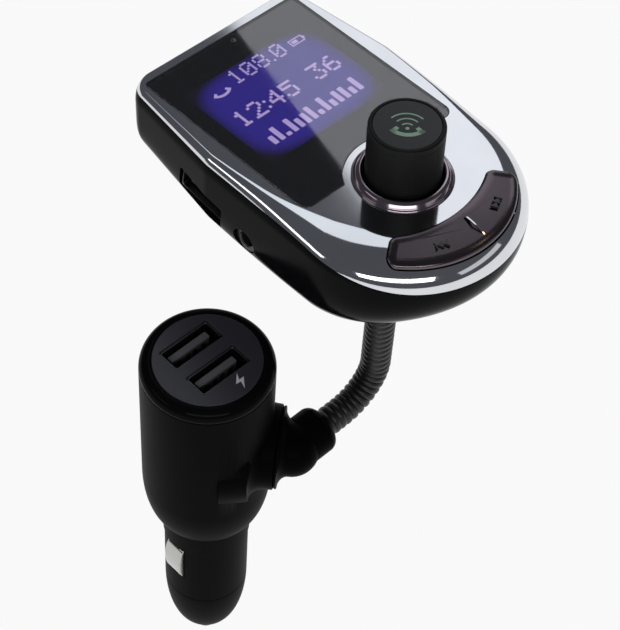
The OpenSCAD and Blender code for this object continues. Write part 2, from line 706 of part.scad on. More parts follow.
module rear_shell() {
    color([0.08, 0.08, 0.09]) difference() {
        union() {
            in_head() difference() {
                hull() {
                    level_slice(-lip - slice_t, rim_inset);
                    level_slice(widest_z / 2 - lip / 2, fillet / 4);
                    level_slice(widest_z, 0);
                    for (s = under_shares) under_slice(s[0] * under_round, s[1] * under_round);
                }
                hull() {
                    level_slice(over, rim_inset + rim_wall);
                    level_slice(widest_z, shell_wall);
                    for (s = under_shares) under_slice(s[0] * under_round + s[1] * shell_wall,
                        s[1] * under_round + (1 - s[1]) * shell_wall);
                }
            }
            in_head() case_posts() under_screw(0.8 * shell_wall)
                cylinder(h = $post_gap - slip_gap - 0.8 * shell_wall, r = screw_boss_r);
            translate([neck_x, neck_y, pad_z]) cylinder(h = pad_h, r = pad_r);
        }
        in_head() shell_cuts();
        translate([neck_x, neck_y, pad_z - over])
            cylinder(h = pad_h + 3 * over, r = socket_core_r + slip_gap);
    }
}

// Openings in the rear shell: ports on its left side, a card slot on its right, screw holes below
module shell_cuts() {
    cut = 6 * shell_wall;
    at_side_port(side_port_y) translate([-mid_half_w, 0, 0]) rotate([0, 90, 0]) translate([0, 0, -over])
        box(port_h + 4 * play, port_w + 3 * play, cut);
    at_side_port(jack_y) translate([-mid_half_w - over, 0, 0]) rotate([0, 90, 0])
        cylinder(h = cut, r = jack_out_r + slip_gap);
    at_side_port(side_port_y) translate([mid_half_w - 2 * shell_wall, 0, 0]) rotate([0, 90, 0])
        box(card_h + 4 * play, card_w + 4 * play, cut);
    case_posts() {
        under_screw(-over) cylinder(h = $post_gap + 2 * over, r = screw_r + slip_gap);
        under_screw(-2 * over) cylinder(h = 2 * over + screw_sink, r = screw_head + slip_gap);
    }
}

// Places children in the side ports' tilted row, at a distance along the head
module at_side_port(y) {
    translate([0, side_port_y, side_port_z]) rotate([wedge_deg, 0, 0])
        translate([0, (y - side_port_y) / cos(wedge_deg), 0]) children();
}

// Places children at the four case screws
module case_posts() {
    for (side = [-1, 1], p = [post_low, post_high]) translate([side * p[0], p[1], 0]) {
        $post_rise = p[1] * tan(wedge_deg);
        $post_gap = head_depth - post_len - $post_rise;
        children();
    }
}

// Places children on a case screw's axis, at a height over the underside
module under_screw(up) {
    translate([0, 0, under_z + $post_rise + up]) children();
}

module glass_shape(gap) {
    difference() {
        translate([0, (glass_low + glass_top) / 2, 0])
            rounded(2 * (glass_half_w + gap), glass_top - glass_low + 2 * gap, 2 * bevel + gap);
        circle(ring_r + notch_gap - gap);
    }
}

// The crescent of the rocker key, grown or drawn in by a gap
module key_shape(gap) {
    intersection() {
        difference() {
            circle(key_out_r + gap);
            translate([0, key_in_r - key_gap]) circle(key_in_r - gap);
        }
        polygon([[0, gap], [-2 * key_out_r, gap - key_out_r * key_end_share],
            [-2 * key_out_r, -2 * key_out_r], [2 * key_out_r, -2 * key_out_r],
            [2 * key_out_r, gap - key_out_r * key_end_share]]);
    }
}

module faceplate() {
    color([0.72, 0.73, 0.76]) in_head() difference() {
        union() {
            hull() {
                level_slice(-lip, plate_inset);
                level_slice(-bevel, plate_inset);
                level_slice(-slice_t, plate_inset + bevel);
            }
            translate([0, 0, -plate_t]) linear_extrude(plate_t - fillet) polygon(head_outline(plate_in));
            case_posts() translate([0, 0, -post_len]) cylinder(h = post_len - fillet, r = post_r);
        }
        translate([0, 0, -glass_t]) linear_extrude(glass_t + over) glass_shape(slip_gap);
        translate([0, screen_mid, -plate_t - over]) box(screen_w, screen_l, plate_t + 2 * over);
        translate([0, 0, -plate_t - over]) linear_extrude(plate_t + 2 * over) key_shape(play);
        translate([0, 0, -plate_t - over]) cylinder(h = plate_t + 2 * over, r = ring_in_r);
        translate([0, 0, -lip - 2 * slip_gap]) cylinder(h = plate_t, r = ring_r + slip_gap);
        case_posts() translate([0, 0, -post_len - over]) cylinder(h = post_len - plate_t, r = screw_r);
    }
}

module glass() {
    color([0.1, 0.09, 0.12, 0.6]) in_head() difference() {
        translate([0, 0, -glass_t]) linear_extrude(glass_t + slip_gap) glass_shape(0);
        translate([mic_x, glass_top - mic_drop, -glass_t - over])
            cylinder(h = glass_t + 2 * over, r = fillet + slip_gap);
    }
}

module display_module() {
    color([0.14, 0.08, 0.43]) in_head() translate([0, screen_mid, -plate_t - module_t])
        round_box(screen_w + 2 * module_edge, screen_l + 2 * module_edge, module_t, fillet);
}

module microphone() {
    color([0.3, 0.3, 0.32]) in_head() translate([mic_x, glass_top - mic_drop, -glass_t])
        tube(fillet, fillet / 2, glass_t + slip_gap / 2);
}

module knob_ring() {
    floor_z = -lip - slip_gap;
    color([0.3, 0.28, 0.3]) in_head() rotate_extrude() polygon([
        [ring_in_r, floor_z], [ring_r, floor_z], [ring_r, fillet / 4], [ring_r - fillet / 2, fillet / 2],
        [ring_r - fillet, fillet / 3], [ring_in_r, floor_z + fillet / 2]]);
}

module face_board() {
    color([0.05, 0.3, 0.16]) in_head() translate([0, 0, face_board_z]) linear_extrude(board_t)
        intersection() {
            polygon(head_outline(2 * shell_wall + fillet));
            translate([-face_board_half_w, -2 * low_r])
                square([2 * face_board_half_w, 2 * low_r + head_top]);
        }
}

module jack_board() {
    low = jack_y - 2.4 * jack_out_r;
    high = side_port_y + jack_board_high;
    color([0.05, 0.3, 0.16]) in_head() at_side_port((low + high) / 2)
        translate([0, 0, jack_board_up]) box(2 * side_wall_in - 4 * fillet, high - low, board_t);
}

module encoder_base() {
    low = face_board_z + board_t;
    color([0.35, 0.35, 0.37]) in_head() translate([0, 0, low]) difference() {
        box(4.1 * shaft_r, 4.1 * shaft_r, encoder_h);
        translate([0, 0, fillet / 2]) cylinder(h = encoder_h + over, r = shaft_r + rotor_wall + run_gap);
    }
}

module encoder_rotor() {
    low = face_board_z + board_t + fillet / 2;
    color([0.6, 0.6, 0.6]) in_head() translate([0, 0, low + run_gap])
        tube(shaft_r + rotor_wall, shaft_r + run_gap, rotor_h);
}

module knob_shaft() {
    low = face_board_z + board_t + fillet / 2 + run_gap + knob_travel;
    color([0.75, 0.75, 0.75]) in_head() translate([0, 0, low])
        cylinder(h = knob_h - knob_top_t - knob_wall - low, r = shaft_r);
}

module knob() {
    skirt = knob_r - knob_wall;
    top = knob_h - knob_top_t;
    hub = shaft_r + knob_wall;
    color([0.07, 0.07, 0.07]) in_head() rotate_extrude() polygon([
        [shaft_r + slip_gap / 2, fillet], [hub, fillet], [hub, top], [skirt, top],
        [skirt, -bevel], [knob_r, -bevel], [knob_r, knob_h - fillet],
        [knob_r - fillet / 3, knob_h - fillet / 4], [knob_r - fillet, knob_h],
        [knob_r - 1.4 * fillet, knob_h], [knob_r - 1.6 * fillet, knob_h - fillet / 2],
        [0, knob_h - fillet / 2], [0, top - knob_wall], [shaft_r + slip_gap / 2, top - knob_wall]]);
}

module knob_cap() {
    color([0.16, 0.16, 0.17]) in_head() translate([0, 0, knob_h - fillet / 2])
        cylinder(h = fillet / 3, r = knob_r - 1.6 * fillet - slip_gap / 2);
}

module seek_rocker() {
    color([0.15, 0.15, 0.17]) in_head() difference() {
        union() {
            translate([0, 0, -plate_t - slip_gap]) linear_extrude(plate_t + key_proud + slip_gap - fillet / 2)
                key_shape(0);
            translate([0, 0, -fillet]) linear_extrude(key_proud + fillet) key_shape(-fillet / 2);
        }
        translate([-groove_w / 2, -key_out_r + 4 * fillet, key_proud - fillet])
            cube([groove_w, key_out_r, 2 * fillet]);
    }
}

module rocker_fulcrum() {
    low = face_board_z + board_t;
    reach = (key_gap + key_out_r) / 2;
    color([0.6, 0.6, 0.6]) in_head() translate([0, -reach, low]) {
        box(2 * fillet, 4 * fillet, -low - plate_t - slip_gap - 2 * fillet);
        translate([0, 2 * fillet, -low - plate_t - slip_gap - 2 * fillet]) rotate([90, 0, 0])
            cylinder(h = 4 * fillet, r = 2 * fillet - run_gap);
    }
}

module key_switches() {
    low = face_board_z + board_t;
    reach = (key_gap + key_out_r) / 2;
    color([0.7, 0.7, 0.72]) in_head() for (side = [-1, 1])
        translate([side * switch_x, -reach, low]) box(switch_w, switch_w, -low - plate_t - key_drop);
}

module side_port_shell() {
    color([0.75, 0.75, 0.77]) in_head() at_side_port(side_port_y)
        translate([-side_x + 2 * fillet, 0, 0]) rotate([0, 90, 0]) side_box_shell();
}

// The side port's metal shell, its depth along z
module side_box_shell() {
    difference() {
        box(port_h, port_w, side_port_depth);
        translate([0, 0, -over])
            box(port_h - 2 * port_wall, port_w - 2 * port_wall, side_port_depth + 2 * over);
    }
}

module side_port_tongue() {
    inner = side_port_depth - port_h / 4;
    color([0.9, 0.9, 0.9]) in_head() at_side_port(side_port_y) translate([-side_x + 2 * fillet, 0, 0])
        rotate([0, 90, 0]) {
            translate([0, 0, side_port_depth - tongue_base])
                box(port_h - 2 * port_wall - slip_gap, port_w - 2 * port_wall - slip_gap, tongue_base);
            translate([tongue_step, 0, side_port_depth - inner]) box(tongue_t, tongue_w, inner);
        }
}

module audio_jack() {
    color([0.12, 0.12, 0.13]) in_head() at_side_port(jack_y) translate([-side_x + fillet, 0, 0])
        rotate([0, 90, 0]) difference() {
            cylinder(h = jack_depth + 2 * fillet, r = jack_out_r);
            translate([0, 0, -over]) cylinder(h = jack_depth + over, r = jack_r);
            translate([0, 0, jack_depth]) cylinder(h = fillet, r = jack_r + fillet / 2);
        }
}

module card_socket() {
    depth = card_w + fillet;
    color([0.7, 0.7, 0.72]) in_head() at_side_port(side_port_y)
        translate([side_x - depth - 2 * fillet, 0, 0]) rotate([0, 90, 0]) difference() {
            box(card_h + 2 * port_wall, card_w + 2 * port_wall, depth);
            translate([0, 0, fillet]) box(card_h, card_w, depth);
        }
}

module case_screws() {
    color([0.5, 0.5, 0.52]) in_head() case_posts() {
        under_screw(screw_sink - screw_head_h) cylinder(h = screw_head_h - slip_gap, r = screw_head);
        under_screw(screw_sink - screw_head_h / 2)
            cylinder(h = $post_gap + screw_bite - screw_sink, r = screw_r - slip_gap / 2);
    }
}

plug_housing();
bezel_ring();
label_plate();
port_shell_rear();
port_shell_front();
port_tongue_rear();
port_tongue_front();
port_board();
charge_board();
capacitor();
choke();
plug_barrel();
nose_cap();
tip_contact();
fuse();
tip_spring();
spring_seat();
clip_left();
clip_right();
swivel_elbow();
swivel_screw();
neck_collar();
neck_root();
neck_bend();
neck_mid();
neck_crown();
neck_socket();
neck_nut();
rear_shell();
faceplate();
glass();
display_module();
microphone();
knob_ring();
face_board();
jack_board();
encoder_base();
encoder_rotor();
knob_shaft();
knob();
knob_cap();
seek_rocker();
rocker_fulcrum();
key_switches();
side_port_shell();
side_port_tongue();
audio_jack();
card_socket();
case_screws();
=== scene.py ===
"""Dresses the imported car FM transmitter: plug, swivel, ribbed neck and display head."""

from __future__ import annotations

import logging
import math
from collections.abc import Callable, Iterable
from dataclasses import dataclass
from enum import Enum
from functools import cache

import bmesh
import bpy
import numpy as np
from mathutils import Matrix, Vector


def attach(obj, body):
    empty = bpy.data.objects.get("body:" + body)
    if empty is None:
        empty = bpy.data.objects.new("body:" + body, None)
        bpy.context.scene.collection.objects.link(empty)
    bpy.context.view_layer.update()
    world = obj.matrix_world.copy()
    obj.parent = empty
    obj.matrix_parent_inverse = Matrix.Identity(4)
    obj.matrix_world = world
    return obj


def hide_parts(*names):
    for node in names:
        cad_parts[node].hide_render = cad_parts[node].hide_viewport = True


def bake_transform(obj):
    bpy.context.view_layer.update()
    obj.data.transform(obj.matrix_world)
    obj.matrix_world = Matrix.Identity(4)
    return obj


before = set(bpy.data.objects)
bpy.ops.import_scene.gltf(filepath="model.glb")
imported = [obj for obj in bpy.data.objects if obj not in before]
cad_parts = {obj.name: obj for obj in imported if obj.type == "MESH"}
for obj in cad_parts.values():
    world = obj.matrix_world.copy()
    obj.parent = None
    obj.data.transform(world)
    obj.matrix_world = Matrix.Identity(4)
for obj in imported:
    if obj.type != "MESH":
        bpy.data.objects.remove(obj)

LOG = logging.getLogger("car_transmitter")
MM = 0.001  # metres in a millimetre
MERGE = 2e-7  # metres: points nearer than this become one
EMPTY = 1e-7  # metres: edges shorter than this are dropped
TINY = 1e-9  # keeps a length from being nought
SMOOTH = 32.0  # degrees: edges that bend less are shaded smooth
ROUND = 40.0  # degrees: the same for coarser rounds

Point2 = tuple[float, float]
Point3 = tuple[float, float, float]
Colour = tuple[float, float, float]


# Frames


def moved(x: float, y: float, z: float) -> Matrix:
    """Frame moved to a place, in millimetres."""
    return Matrix.Translation((x, y, z))


def turned(degrees: float, axis: str) -> Matrix:
    """Frame turned round one of its axes."""
    return Matrix.Rotation(math.radians(degrees), 4, axis)


def unplaced(place: Matrix) -> Matrix:
    """A frame's turn alone, for a small piece that is copied to spots on it."""
    return place.to_3x3().to_4x4()


# Plane outlines


def arc(centre: Point2, radius: float, start: float, end: float, steps: int,
        tall: float | None = None) -> list[Point2]:
    """Points on an arc of a circle, or of an oval.

    Args:
        centre: Middle of the circle.
        radius: Its radius.
        start: First angle in degrees.
        end: Last angle in degrees.
        steps: Number of equal steps.
        tall: Radius along y, where that differs; negative turns the arc over.

    Returns:
        The points from start to end.
    """
    rise = radius if tall is None else tall
    turns = np.radians(np.linspace(start, end, steps + 1))
    return [(centre[0] + radius * math.cos(a), centre[1] + rise * math.sin(a)) for a in turns]


def mirrored(points: list[Point2]) -> list[Point2]:
    """The points mirrored across the middle line, in the other order."""
    return [(-x, y) for x, y in reversed(points)]


def shifted(points: list[Point2], x: float, y: float) -> list[Point2]:
    """The points moved along x and y."""
    return [(px + x, py + y) for px, py in points]


def raised(points: list[Point2], z: float) -> list[Point3]:
    """The points lifted to a height."""
    return [(x, y, z) for x, y in points]


def box(x0: float, y0: float, x1: float, y1: float) -> list[Point2]:
    """Outline of a rectangle with sharp corners, from its low corner to its high one."""
    return [(x0, y0), (x1, y0), (x1, y1), (x0, y1)]


def rounded_box(width: float, length: float, radius: float, steps: int = 8) -> list[Point2]:
    """Outline of a rectangle with round corners, centred on the origin.

    Args:
        width: Size along x.
        length: Size along y.
        radius: Corner radius.
        steps: Steps in each corner.

    Returns:
        The outline, counter-clockwise.
    """
    x, y = width / 2 - radius, length / 2 - radius
    corners = ((x, y, 0), (-x, y, 90), (-x, -y, 180), (x, -y, 270))
    return [p for cx, cy, a in corners for p in arc((cx, cy), radius, a, a + 90, steps)]


def inset(points: list[Point2], depth: float) -> list[Point2]:
    """Draws a counter-clockwise outline in by a depth, along its corners' middle lines.

    Args:
        points: The closed outline.
        depth: How far it is drawn in; negative grows it.

    Returns:
        The new outline, with as many points.
    """
    p = np.array(points, float)
    normals = []
    for edge in (p - np.roll(p, 1, 0), np.roll(p, -1, 0) - p):
        length = np.maximum(np.linalg.norm(edge, axis=1, keepdims=True), TINY)
        normals.append(np.c_[-edge[:, 1], edge[:, 0]] / length)
    middle = normals[0] + normals[1]
    middle /= np.maximum(np.linalg.norm(middle, axis=1, keepdims=True), TINY)
    sharpest = 0.35
    stretch = np.maximum((middle * normals[0]).sum(1, keepdims=True), sharpest)
    return [(float(x), float(y)) for x, y in p + middle / stretch * depth]


def swollen(points: list[Point2], reach: float) -> list[Point2]:
    """Grows a counter-clockwise outline, its outer corners becoming arcs.

    Args:
        points: The closed outline.
        reach: How far it grows.

    Returns:
        The new outline.
    """
    out, step_deg = [], 10
    for i, spot in enumerate(points):
        here = Vector(spot)
        before, after = here - Vector(points[i - 1]), Vector(points[(i + 1) % len(points)]) - here
        first, last = math.atan2(-before.x, before.y), math.atan2(-after.x, after.y)
        turn = (last - first + math.pi) % (2 * math.pi) - math.pi
        steps = max(1, round(math.degrees(turn) / step_deg))
        turns = [first + turn / 2] if steps == 1 else [first + turn * k / steps for k in range(steps + 1)]
        out += [(here.x + reach * math.cos(a), here.y + reach * math.sin(a)) for a in turns]
    return out


def softened(points: list[Point2], radius: float, steps: int = 4) -> list[Point2]:
    """Rounds the inner corners of an open profile.

    Args:
        points: The profile's corners.
        radius: Largest rounding; short edges get less.
        steps: Steps in each rounding.

    Returns:
        The profile with its corners rounded.
    """
    out = [points[0]]
    for a, b, c in zip(points, points[1:], points[2:]):
        va, vc = Vector(a) - Vector(b), Vector(c) - Vector(b)
        reach = min(radius, va.length * 0.45, vc.length * 0.45)
        p, q = Vector(b) + va.normalized() * reach, Vector(b) + vc.normalized() * reach
        for i in range(steps + 1):
            t = i / steps
            spot = p * (1 - t) ** 2 + Vector(b) * 2 * t * (1 - t) + q * t**2
            out.append((spot.x, spot.y))
    return out + [points[-1]]


# Solid forms


class Form:
    """Vertices and faces of one piece, in millimetres, until they become a mesh."""

    def __init__(self, place: Matrix | None = None) -> None:
        """Starts an empty form.

        Args:
            place: Frame that the points are given in, in millimetres.
        """
        self.place = place or Matrix.Identity(4)
        self.points: list[Vector] = []
        self.faces: list[list[int]] = []

    def add(self, points: list[Point3]) -> list[int]:
        """Adds points and returns their numbers."""
        start = len(self.points)
        self.points += [self.place @ Vector(p) for p in points]
        return list(range(start, len(self.points)))

    def loft(self, rings: list[list[Point3]], caps: bool = True) -> Form:
        """Joins closed rings of equal length into a skin.

        Args:
            rings: Rings of points, each the next cut along the form.
            caps: Closes the first and the last ring.

        Returns:
            The form itself.
        """
        rows = [self.add(ring) for ring in rings]
        size = len(rows[0])
        for low, high in zip(rows, rows[1:]):
            for k in range(size):
                m = (k + 1) % size
                self.faces.append([low[k], low[m], high[m], high[k]])
        if caps:
            self.faces += [rows[0][::-1], rows[-1]]
        return self

    def revolve(self, profile: list[Point2], sides: int) -> Form:
        """Turns a profile round the z axis.

        Args:
            profile: Points of (radius, height). One that doesn't start on the axis is closed.
            sides: Number of sides of the round.

        Returns:
            The form itself.
        """
        closed = profile[0][0] > 0
        turns = np.linspace(0, 2 * math.pi, sides, endpoint=False)
        spokes = list(zip(np.cos(turns), np.sin(turns)))
        rings = [[(float(max(r, 0.0) * c), float(max(r, 0.0) * s), float(z)) for c, s in spokes]
                 for r, z in ([*profile, profile[0]] if closed else profile)]
        return self.loft(rings, caps=not closed)

    def prism(self, outline: list[Point2], low: float, high: float, edge: float = 0.0) -> Form:
        """Raises an outline into a slab.

        Args:
            outline: Counter-clockwise outline.
            low: Height of its underside.
            high: Height of its top.
            edge: Rounding of the top edge.

        Returns:
            The form itself.
        """
        rings = [raised(outline, low)]
        for a in np.radians((0, 30, 60, 90)) if edge else ():
            rings.append(raised(inset(outline, edge * (1 - math.cos(a))), high - edge * (1 - math.sin(a))))
        if not edge:
            rings.append(raised(outline, high))
        return self.loft(rings)

    def sheet(self, outline: list[Point2], height: float) -> Form:
        """Lays a flat face at a height."""
        self.faces.append(self.add(raised(outline, height)))
        return self

    def build(self, name: str, smooth: float = SMOOTH) -> bpy.types.Object:
        """Makes the mesh object, in metres.

        Args:
            name: The object's name.
            smooth: Edges that bend less than this many degrees are shaded smooth.

        Returns:
            The new object, its place in its mesh.
        """
        mesh = bpy.data.meshes.new(name)
        mesh.from_pydata([tuple(p * MM) for p in self.points], [], self.faces)
        tidy(mesh)
        soften(mesh, smooth)
        return linked(name, mesh)


def linked(name: str, data: bpy.types.ID) -> bpy.types.Object:
    """Puts a mesh, a lamp or a camera into the scene."""
    made = bpy.data.objects.new(name, data)
    bpy.context.scene.collection.objects.link(made)
    return made


def tidy(mesh: bpy.types.Mesh) -> None:
    """Merges doubled points, drops empty faces and turns the faces outwards."""
    work = bmesh.new()
    work.from_mesh(mesh)
    bmesh.ops.remove_doubles(work, verts=work.verts, dist=MERGE)
    bmesh.ops.dissolve_degenerate(work, edges=work.edges, dist=EMPTY)
    bmesh.ops.recalc_face_normals(work, faces=work.faces)
    work.to_mesh(mesh)
    work.free()


def soften(mesh: bpy.types.Mesh, degrees: float) -> None:
    """Shades a mesh smooth up to an edge angle in degrees."""
    mesh.polygons.foreach_set("use_smooth", [True] * len(mesh.polygons))
    mesh.set_sharp_from_angle(angle=math.radians(degrees))


def settled(piece: bpy.types.Object) -> bpy.types.Object:
    """Turns a piece's modifiers into plain mesh."""
    graph = bpy.context.evaluated_depsgraph_get()
    mesh = bpy.data.meshes.new_from_object(piece.evaluated_get(graph))
    old = piece.data
    piece.modifiers.clear()
    piece.data = mesh
    mesh.name = piece.name
    if old.users == 0:
        bpy.data.meshes.remove(old)
    return piece


def combined(piece: bpy.types.Object, others: list[bpy.types.Object], way: str,
             smooth: float = SMOOTH) -> bpy.types.Object:
    """Cuts other solids from a piece, or joins them to it.

    Args:
        piece: The solid that stays.
        others: Solids that are used up.
        way: DIFFERENCE or UNION.
        smooth: Shading angle of the result in degrees.

    Returns:
        The piece.
    """
    for solid in (piece, *others):
        solid.data.transform(Matrix.Scale(1 / MM, 4))
    for other in others:
        step = piece.modifiers.new("solid", "BOOLEAN")
        step.operation, step.solver, step.object = way, "EXACT", other
        settled(piece)
        bpy.data.objects.remove(other)
    piece.data.transform(Matrix.Scale(MM, 4))
    soften(piece.data, smooth)
    return piece


def punch(place: Matrix, outline: list[Point2], low: float, high: float) -> bpy.types.Object:
    """Cutter for an opening with straight walls.

    Args:
        place: Frame of the opening.
        outline: Its outline, counter-clockwise.
        low: Height where it starts.
        high: Height where it ends.

    Returns:
        The cutter.
    """
    return Form(place).prism(outline, low, high).build("cut")


def drill(place: Matrix, radius: float, low: float, high: float, sides: int) -> bpy.types.Object:
    """Cutter for a round hole.

    Args:
        place: Frame with the hole's axis as its z.
        radius: The hole's radius.
        low: Height where it starts.
        high: Height where it ends.
        sides: Number of sides of the round.

    Returns:
        The cutter.
    """
    return Form(place).revolve([(0, low), (radius, low), (radius, high), (0, high)], sides).build("cut")


def rounded_edges(piece: bpy.types.Object, width: float, angle: float) -> bpy.types.Object:
    """Breaks a piece's sharp edges.

    Args:
        piece: The piece.
        width: Width of the rounding in millimetres.
        angle: Edges sharper than this many degrees are rounded.

    Returns:
        The piece.
    """
    step = piece.modifiers.new("edges", "BEVEL")
    step.width, step.segments = width * MM, 2
    step.limit_method, step.angle_limit = "ANGLE", math.radians(angle)
    settled(piece)
    soften(piece.data, SMOOTH)
    return piece


# Node trees


class Wiring:
    """A node tree being wired, with short ways to add nodes."""

    def __init__(self, tree: bpy.types.NodeTree) -> None:
        """Takes the tree that gets the nodes."""
        self.tree = tree

    def node(self, kind: str, wires: dict[str | int, object] | None = None, **values: object
             ) -> bpy.types.Node:
        """Adds a node, with its inputs wired or set.

        Args:
            kind: The node's type.
            wires: A socket to wire, or a value to set, for each named or numbered input.
            **values: Properties of the node.

        Returns:
            The node.
        """
        made = self.tree.nodes.new(kind)
        for key, value in values.items():
            setattr(made, key, value)
        for key, source in (wires or {}).items():
            if isinstance(source, bpy.types.NodeSocket):
                self.link(source, made.inputs[key])
            else:
                made.inputs[key].default_value = source
        return made

    def link(self, source: bpy.types.NodeSocket, target: bpy.types.NodeSocket) -> None:
        """Wires one socket to another."""
        self.tree.links.new(source, target)

    def maths(self, way: str, *sources: bpy.types.NodeSocket | float) -> bpy.types.NodeSocket:
        """One sum on numbers that vary over the shape."""
        return self.node("ShaderNodeMath", dict(enumerate(sources)), operation=way).outputs[0]


class Group(Wiring):
    """A node group being wired, with named inputs and outputs."""

    def __init__(self, kind: str, name: str, inputs: dict[str, str], outputs: dict[str, str]) -> None:
        """Starts a group.

        Args:
            kind: The tree's type.
            name: The group's name.
            inputs: Names and socket kinds of its inputs.
            outputs: Names and socket kinds of its outputs.
        """
        super().__init__(bpy.data.node_groups.new(name, kind))
        for way, sockets in (("INPUT", inputs), ("OUTPUT", outputs)):
            for key, socket in sockets.items():
                self.tree.interface.new_socket(key, in_out=way, socket_type=f"NodeSocket{socket}")
        self.given = self.node("NodeGroupInput").outputs
        self.result = self.node("NodeGroupOutput").inputs


class Grower(Group):
    """A Geometry Nodes tree that takes a shape and gives a shape of one material."""

    def __init__(self, name: str, **inputs: str) -> None:
        """Starts the tree.

        Args:
            name: The tree's name.
            **inputs: Socket kinds of its inputs besides the shape, named with _ for spaces.
        """
        named = {key.replace("_", " "): kind for key, kind in inputs.items()}
        super().__init__("GeometryNodeTree", name, {"Geometry": "Geometry", **named, "Material": "Material"},
                         {"Geometry": "Geometry"})

    def finish(self, shape: bpy.types.NodeSocket) -> bpy.types.NodeTree:
        """Realizes the copies, sets the material and closes the tree."""
        real = self.node("GeometryNodeRealizeInstances", {"Geometry": shape})
        painted = self.node("GeometryNodeSetMaterial", {"Geometry": real.outputs[0],
                                                        "Material": self.given["Material"]})
        self.link(painted.outputs[0], self.result["Geometry"])
        return self.tree


def grown(name: str, spots: list[Vector], joined: bool, tree: bpy.types.NodeTree, **values: object
          ) -> bpy.types.Object:
    """Runs a tree on points, or on one line of points, and keeps its result as plain mesh.

    Args:
        name: The new piece's name.
        spots: The points, in millimetres.
        joined: Joins each point with the next.
        tree: The tree.
        **values: The tree's inputs, named with _ for spaces.

    Returns:
        The piece.
    """
    mesh = bpy.data.meshes.new(name)
    edges = [(i, i + 1) for i in range(len(spots) - 1)] if joined else []
    mesh.from_pydata([tuple(p * MM) for p in spots], edges, [])
    piece = linked(name, mesh)
    step = piece.modifiers.new(tree.name, "NODES")
    step.node_group = tree
    ids = {item.name: item.identifier for item in tree.interface.items_tree if item.in_out == "INPUT"}
    for key, value in values.items():
        step[ids[key.replace("_", " ")]] = value
    return settled(piece)


@cache
def copies_tree() -> bpy.types.NodeTree:
    """Tree that puts a copy of one small piece on every point."""
    grower = Grower("copies on points", Piece="Object")
    info = grower.node("GeometryNodeObjectInfo", {"Object": grower.given["Piece"]})
    placed = grower.node("GeometryNodeInstanceOnPoints", {"Points": grower.given["Geometry"],
                                                          "Instance": info.outputs["Geometry"]})
    return grower.finish(placed.outputs[0])


def repeated(name: str, one: bpy.types.Object, spots: list[Vector], body: str, finish: Finish,
             *nodes: str) -> None:
    """Copies a small piece, modelled at the origin, to every spot.

    Args:
        name: Name of the joined piece.
        one: The piece that is copied, used up here.
        spots: Where the copies go, in millimetres.
        body: Name of the body that they move with.
        finish: Their finish.
        *nodes: CAD nodes that they stand for.
    """
    piece = grown(name, spots, False, copies_tree(), Piece=one, Material=finish.material())
    bpy.data.objects.remove(one)
    soften(piece.data, SMOOTH)
    booked(piece, body, finish, *nodes)


# Finishes


class Shade(Wiring):
    """A material being wired, with one Principled shader."""

    def __init__(self, name: str) -> None:
        """Starts the material."""
        self.material = bpy.data.materials.new(name)
        self.material.use_nodes = True
        super().__init__(self.material.node_tree)
        self.shader = self.tree.nodes["Principled BSDF"]
        self.coords = self.node("ShaderNodeTexCoord").outputs

    def plain(self, **values: object) -> None:
        """Sets the shader's own sockets, named with _ for spaces."""
        for key, value in values.items():
            socket = self.shader.inputs[key.replace("_", " ")]
            socket.default_value = (*value, 1.0) if isinstance(value, tuple) else value

    def effect(self, group: bpy.types.NodeTree, **values: float) -> bpy.types.NodeOutputs:
        """Places a shared effect with this material's own values, and returns its outputs."""
        wires = {"Vector": self.coords["Object"], **values}
        return self.node("ShaderNodeGroup", wires, node_tree=group).outputs

    def mixed(self, key: str, low: Colour, high: Colour, share: bpy.types.NodeSocket) -> None:
        """Feeds a mix of two colours to the shader.

        Args:
            key: The shader's input.
            low: Colour where the share is nought.
            high: Colour where the share is one.
            share: The share.
        """
        wires = {"A": (*low, 1.0), "B": (*high, 1.0), "Factor": share}
        made = self.node("ShaderNodeMix", wires, data_type="RGBA")
        self.link(made.outputs["Result"], self.shader.inputs[key])

    def bump(self, height: bpy.types.NodeSocket, strength: float, depth: float) -> None:
        """Feeds a height to the shader's normal, in millimetres of depth."""
        made = self.node("ShaderNodeBump", {"Strength": strength, "Distance": depth * MM, "Height": height})
        self.link(made.outputs["Normal"], self.shader.inputs["Normal"])


@cache
def grain() -> bpy.types.NodeTree:
    """Group of fine moulded grain: a height, and a roughness that wanders slowly."""
    group = Group("ShaderNodeTree", "moulded grain",
                  {"Vector": "Vector", "Scale": "Float", "Roughness": "Float", "Variation": "Float"},
                  {"Height": "Float", "Roughness": "Float"})
    given = group.given
    fine = group.node("ShaderNodeTexNoise", {
        "Vector": given["Vector"], "Scale": given["Scale"], "Detail": 3.0})
    group.link(fine.outputs["Fac"], group.result["Height"])
    wide = group.node("ShaderNodeTexNoise", {"Vector": given["Vector"], "Scale": 55.0, "Detail": 4.0})
    off = group.maths("SUBTRACT", wide.outputs["Fac"], 0.5)
    rough = group.maths("MULTIPLY_ADD", off, given["Variation"], given["Roughness"])
    group.link(rough, group.result["Roughness"])
    return group.tree


@cache
def tone() -> bpy.types.NodeTree:
    """Group of a slow change between two shades, as handling leaves on a surface."""
    group = Group("ShaderNodeTree", "surface tone",
                  {"Vector": "Vector", "Scale": "Float", "Contrast": "Float"}, {"Mask": "Float"})
    given = group.given
    noise = group.node("ShaderNodeTexNoise", {
        "Vector": given["Vector"], "Scale": given["Scale"], "Detail": 5.0})
    low, high = (group.maths("MULTIPLY_ADD", given["Contrast"], half, 0.5) for half in (-0.5, 0.5))
    spread = group.node("ShaderNodeMapRange", {
        "Value": noise.outputs["Fac"], "From Min": low, "From Max": high})
    group.link(spread.outputs["Result"], group.result["Mask"])
    return group.tree


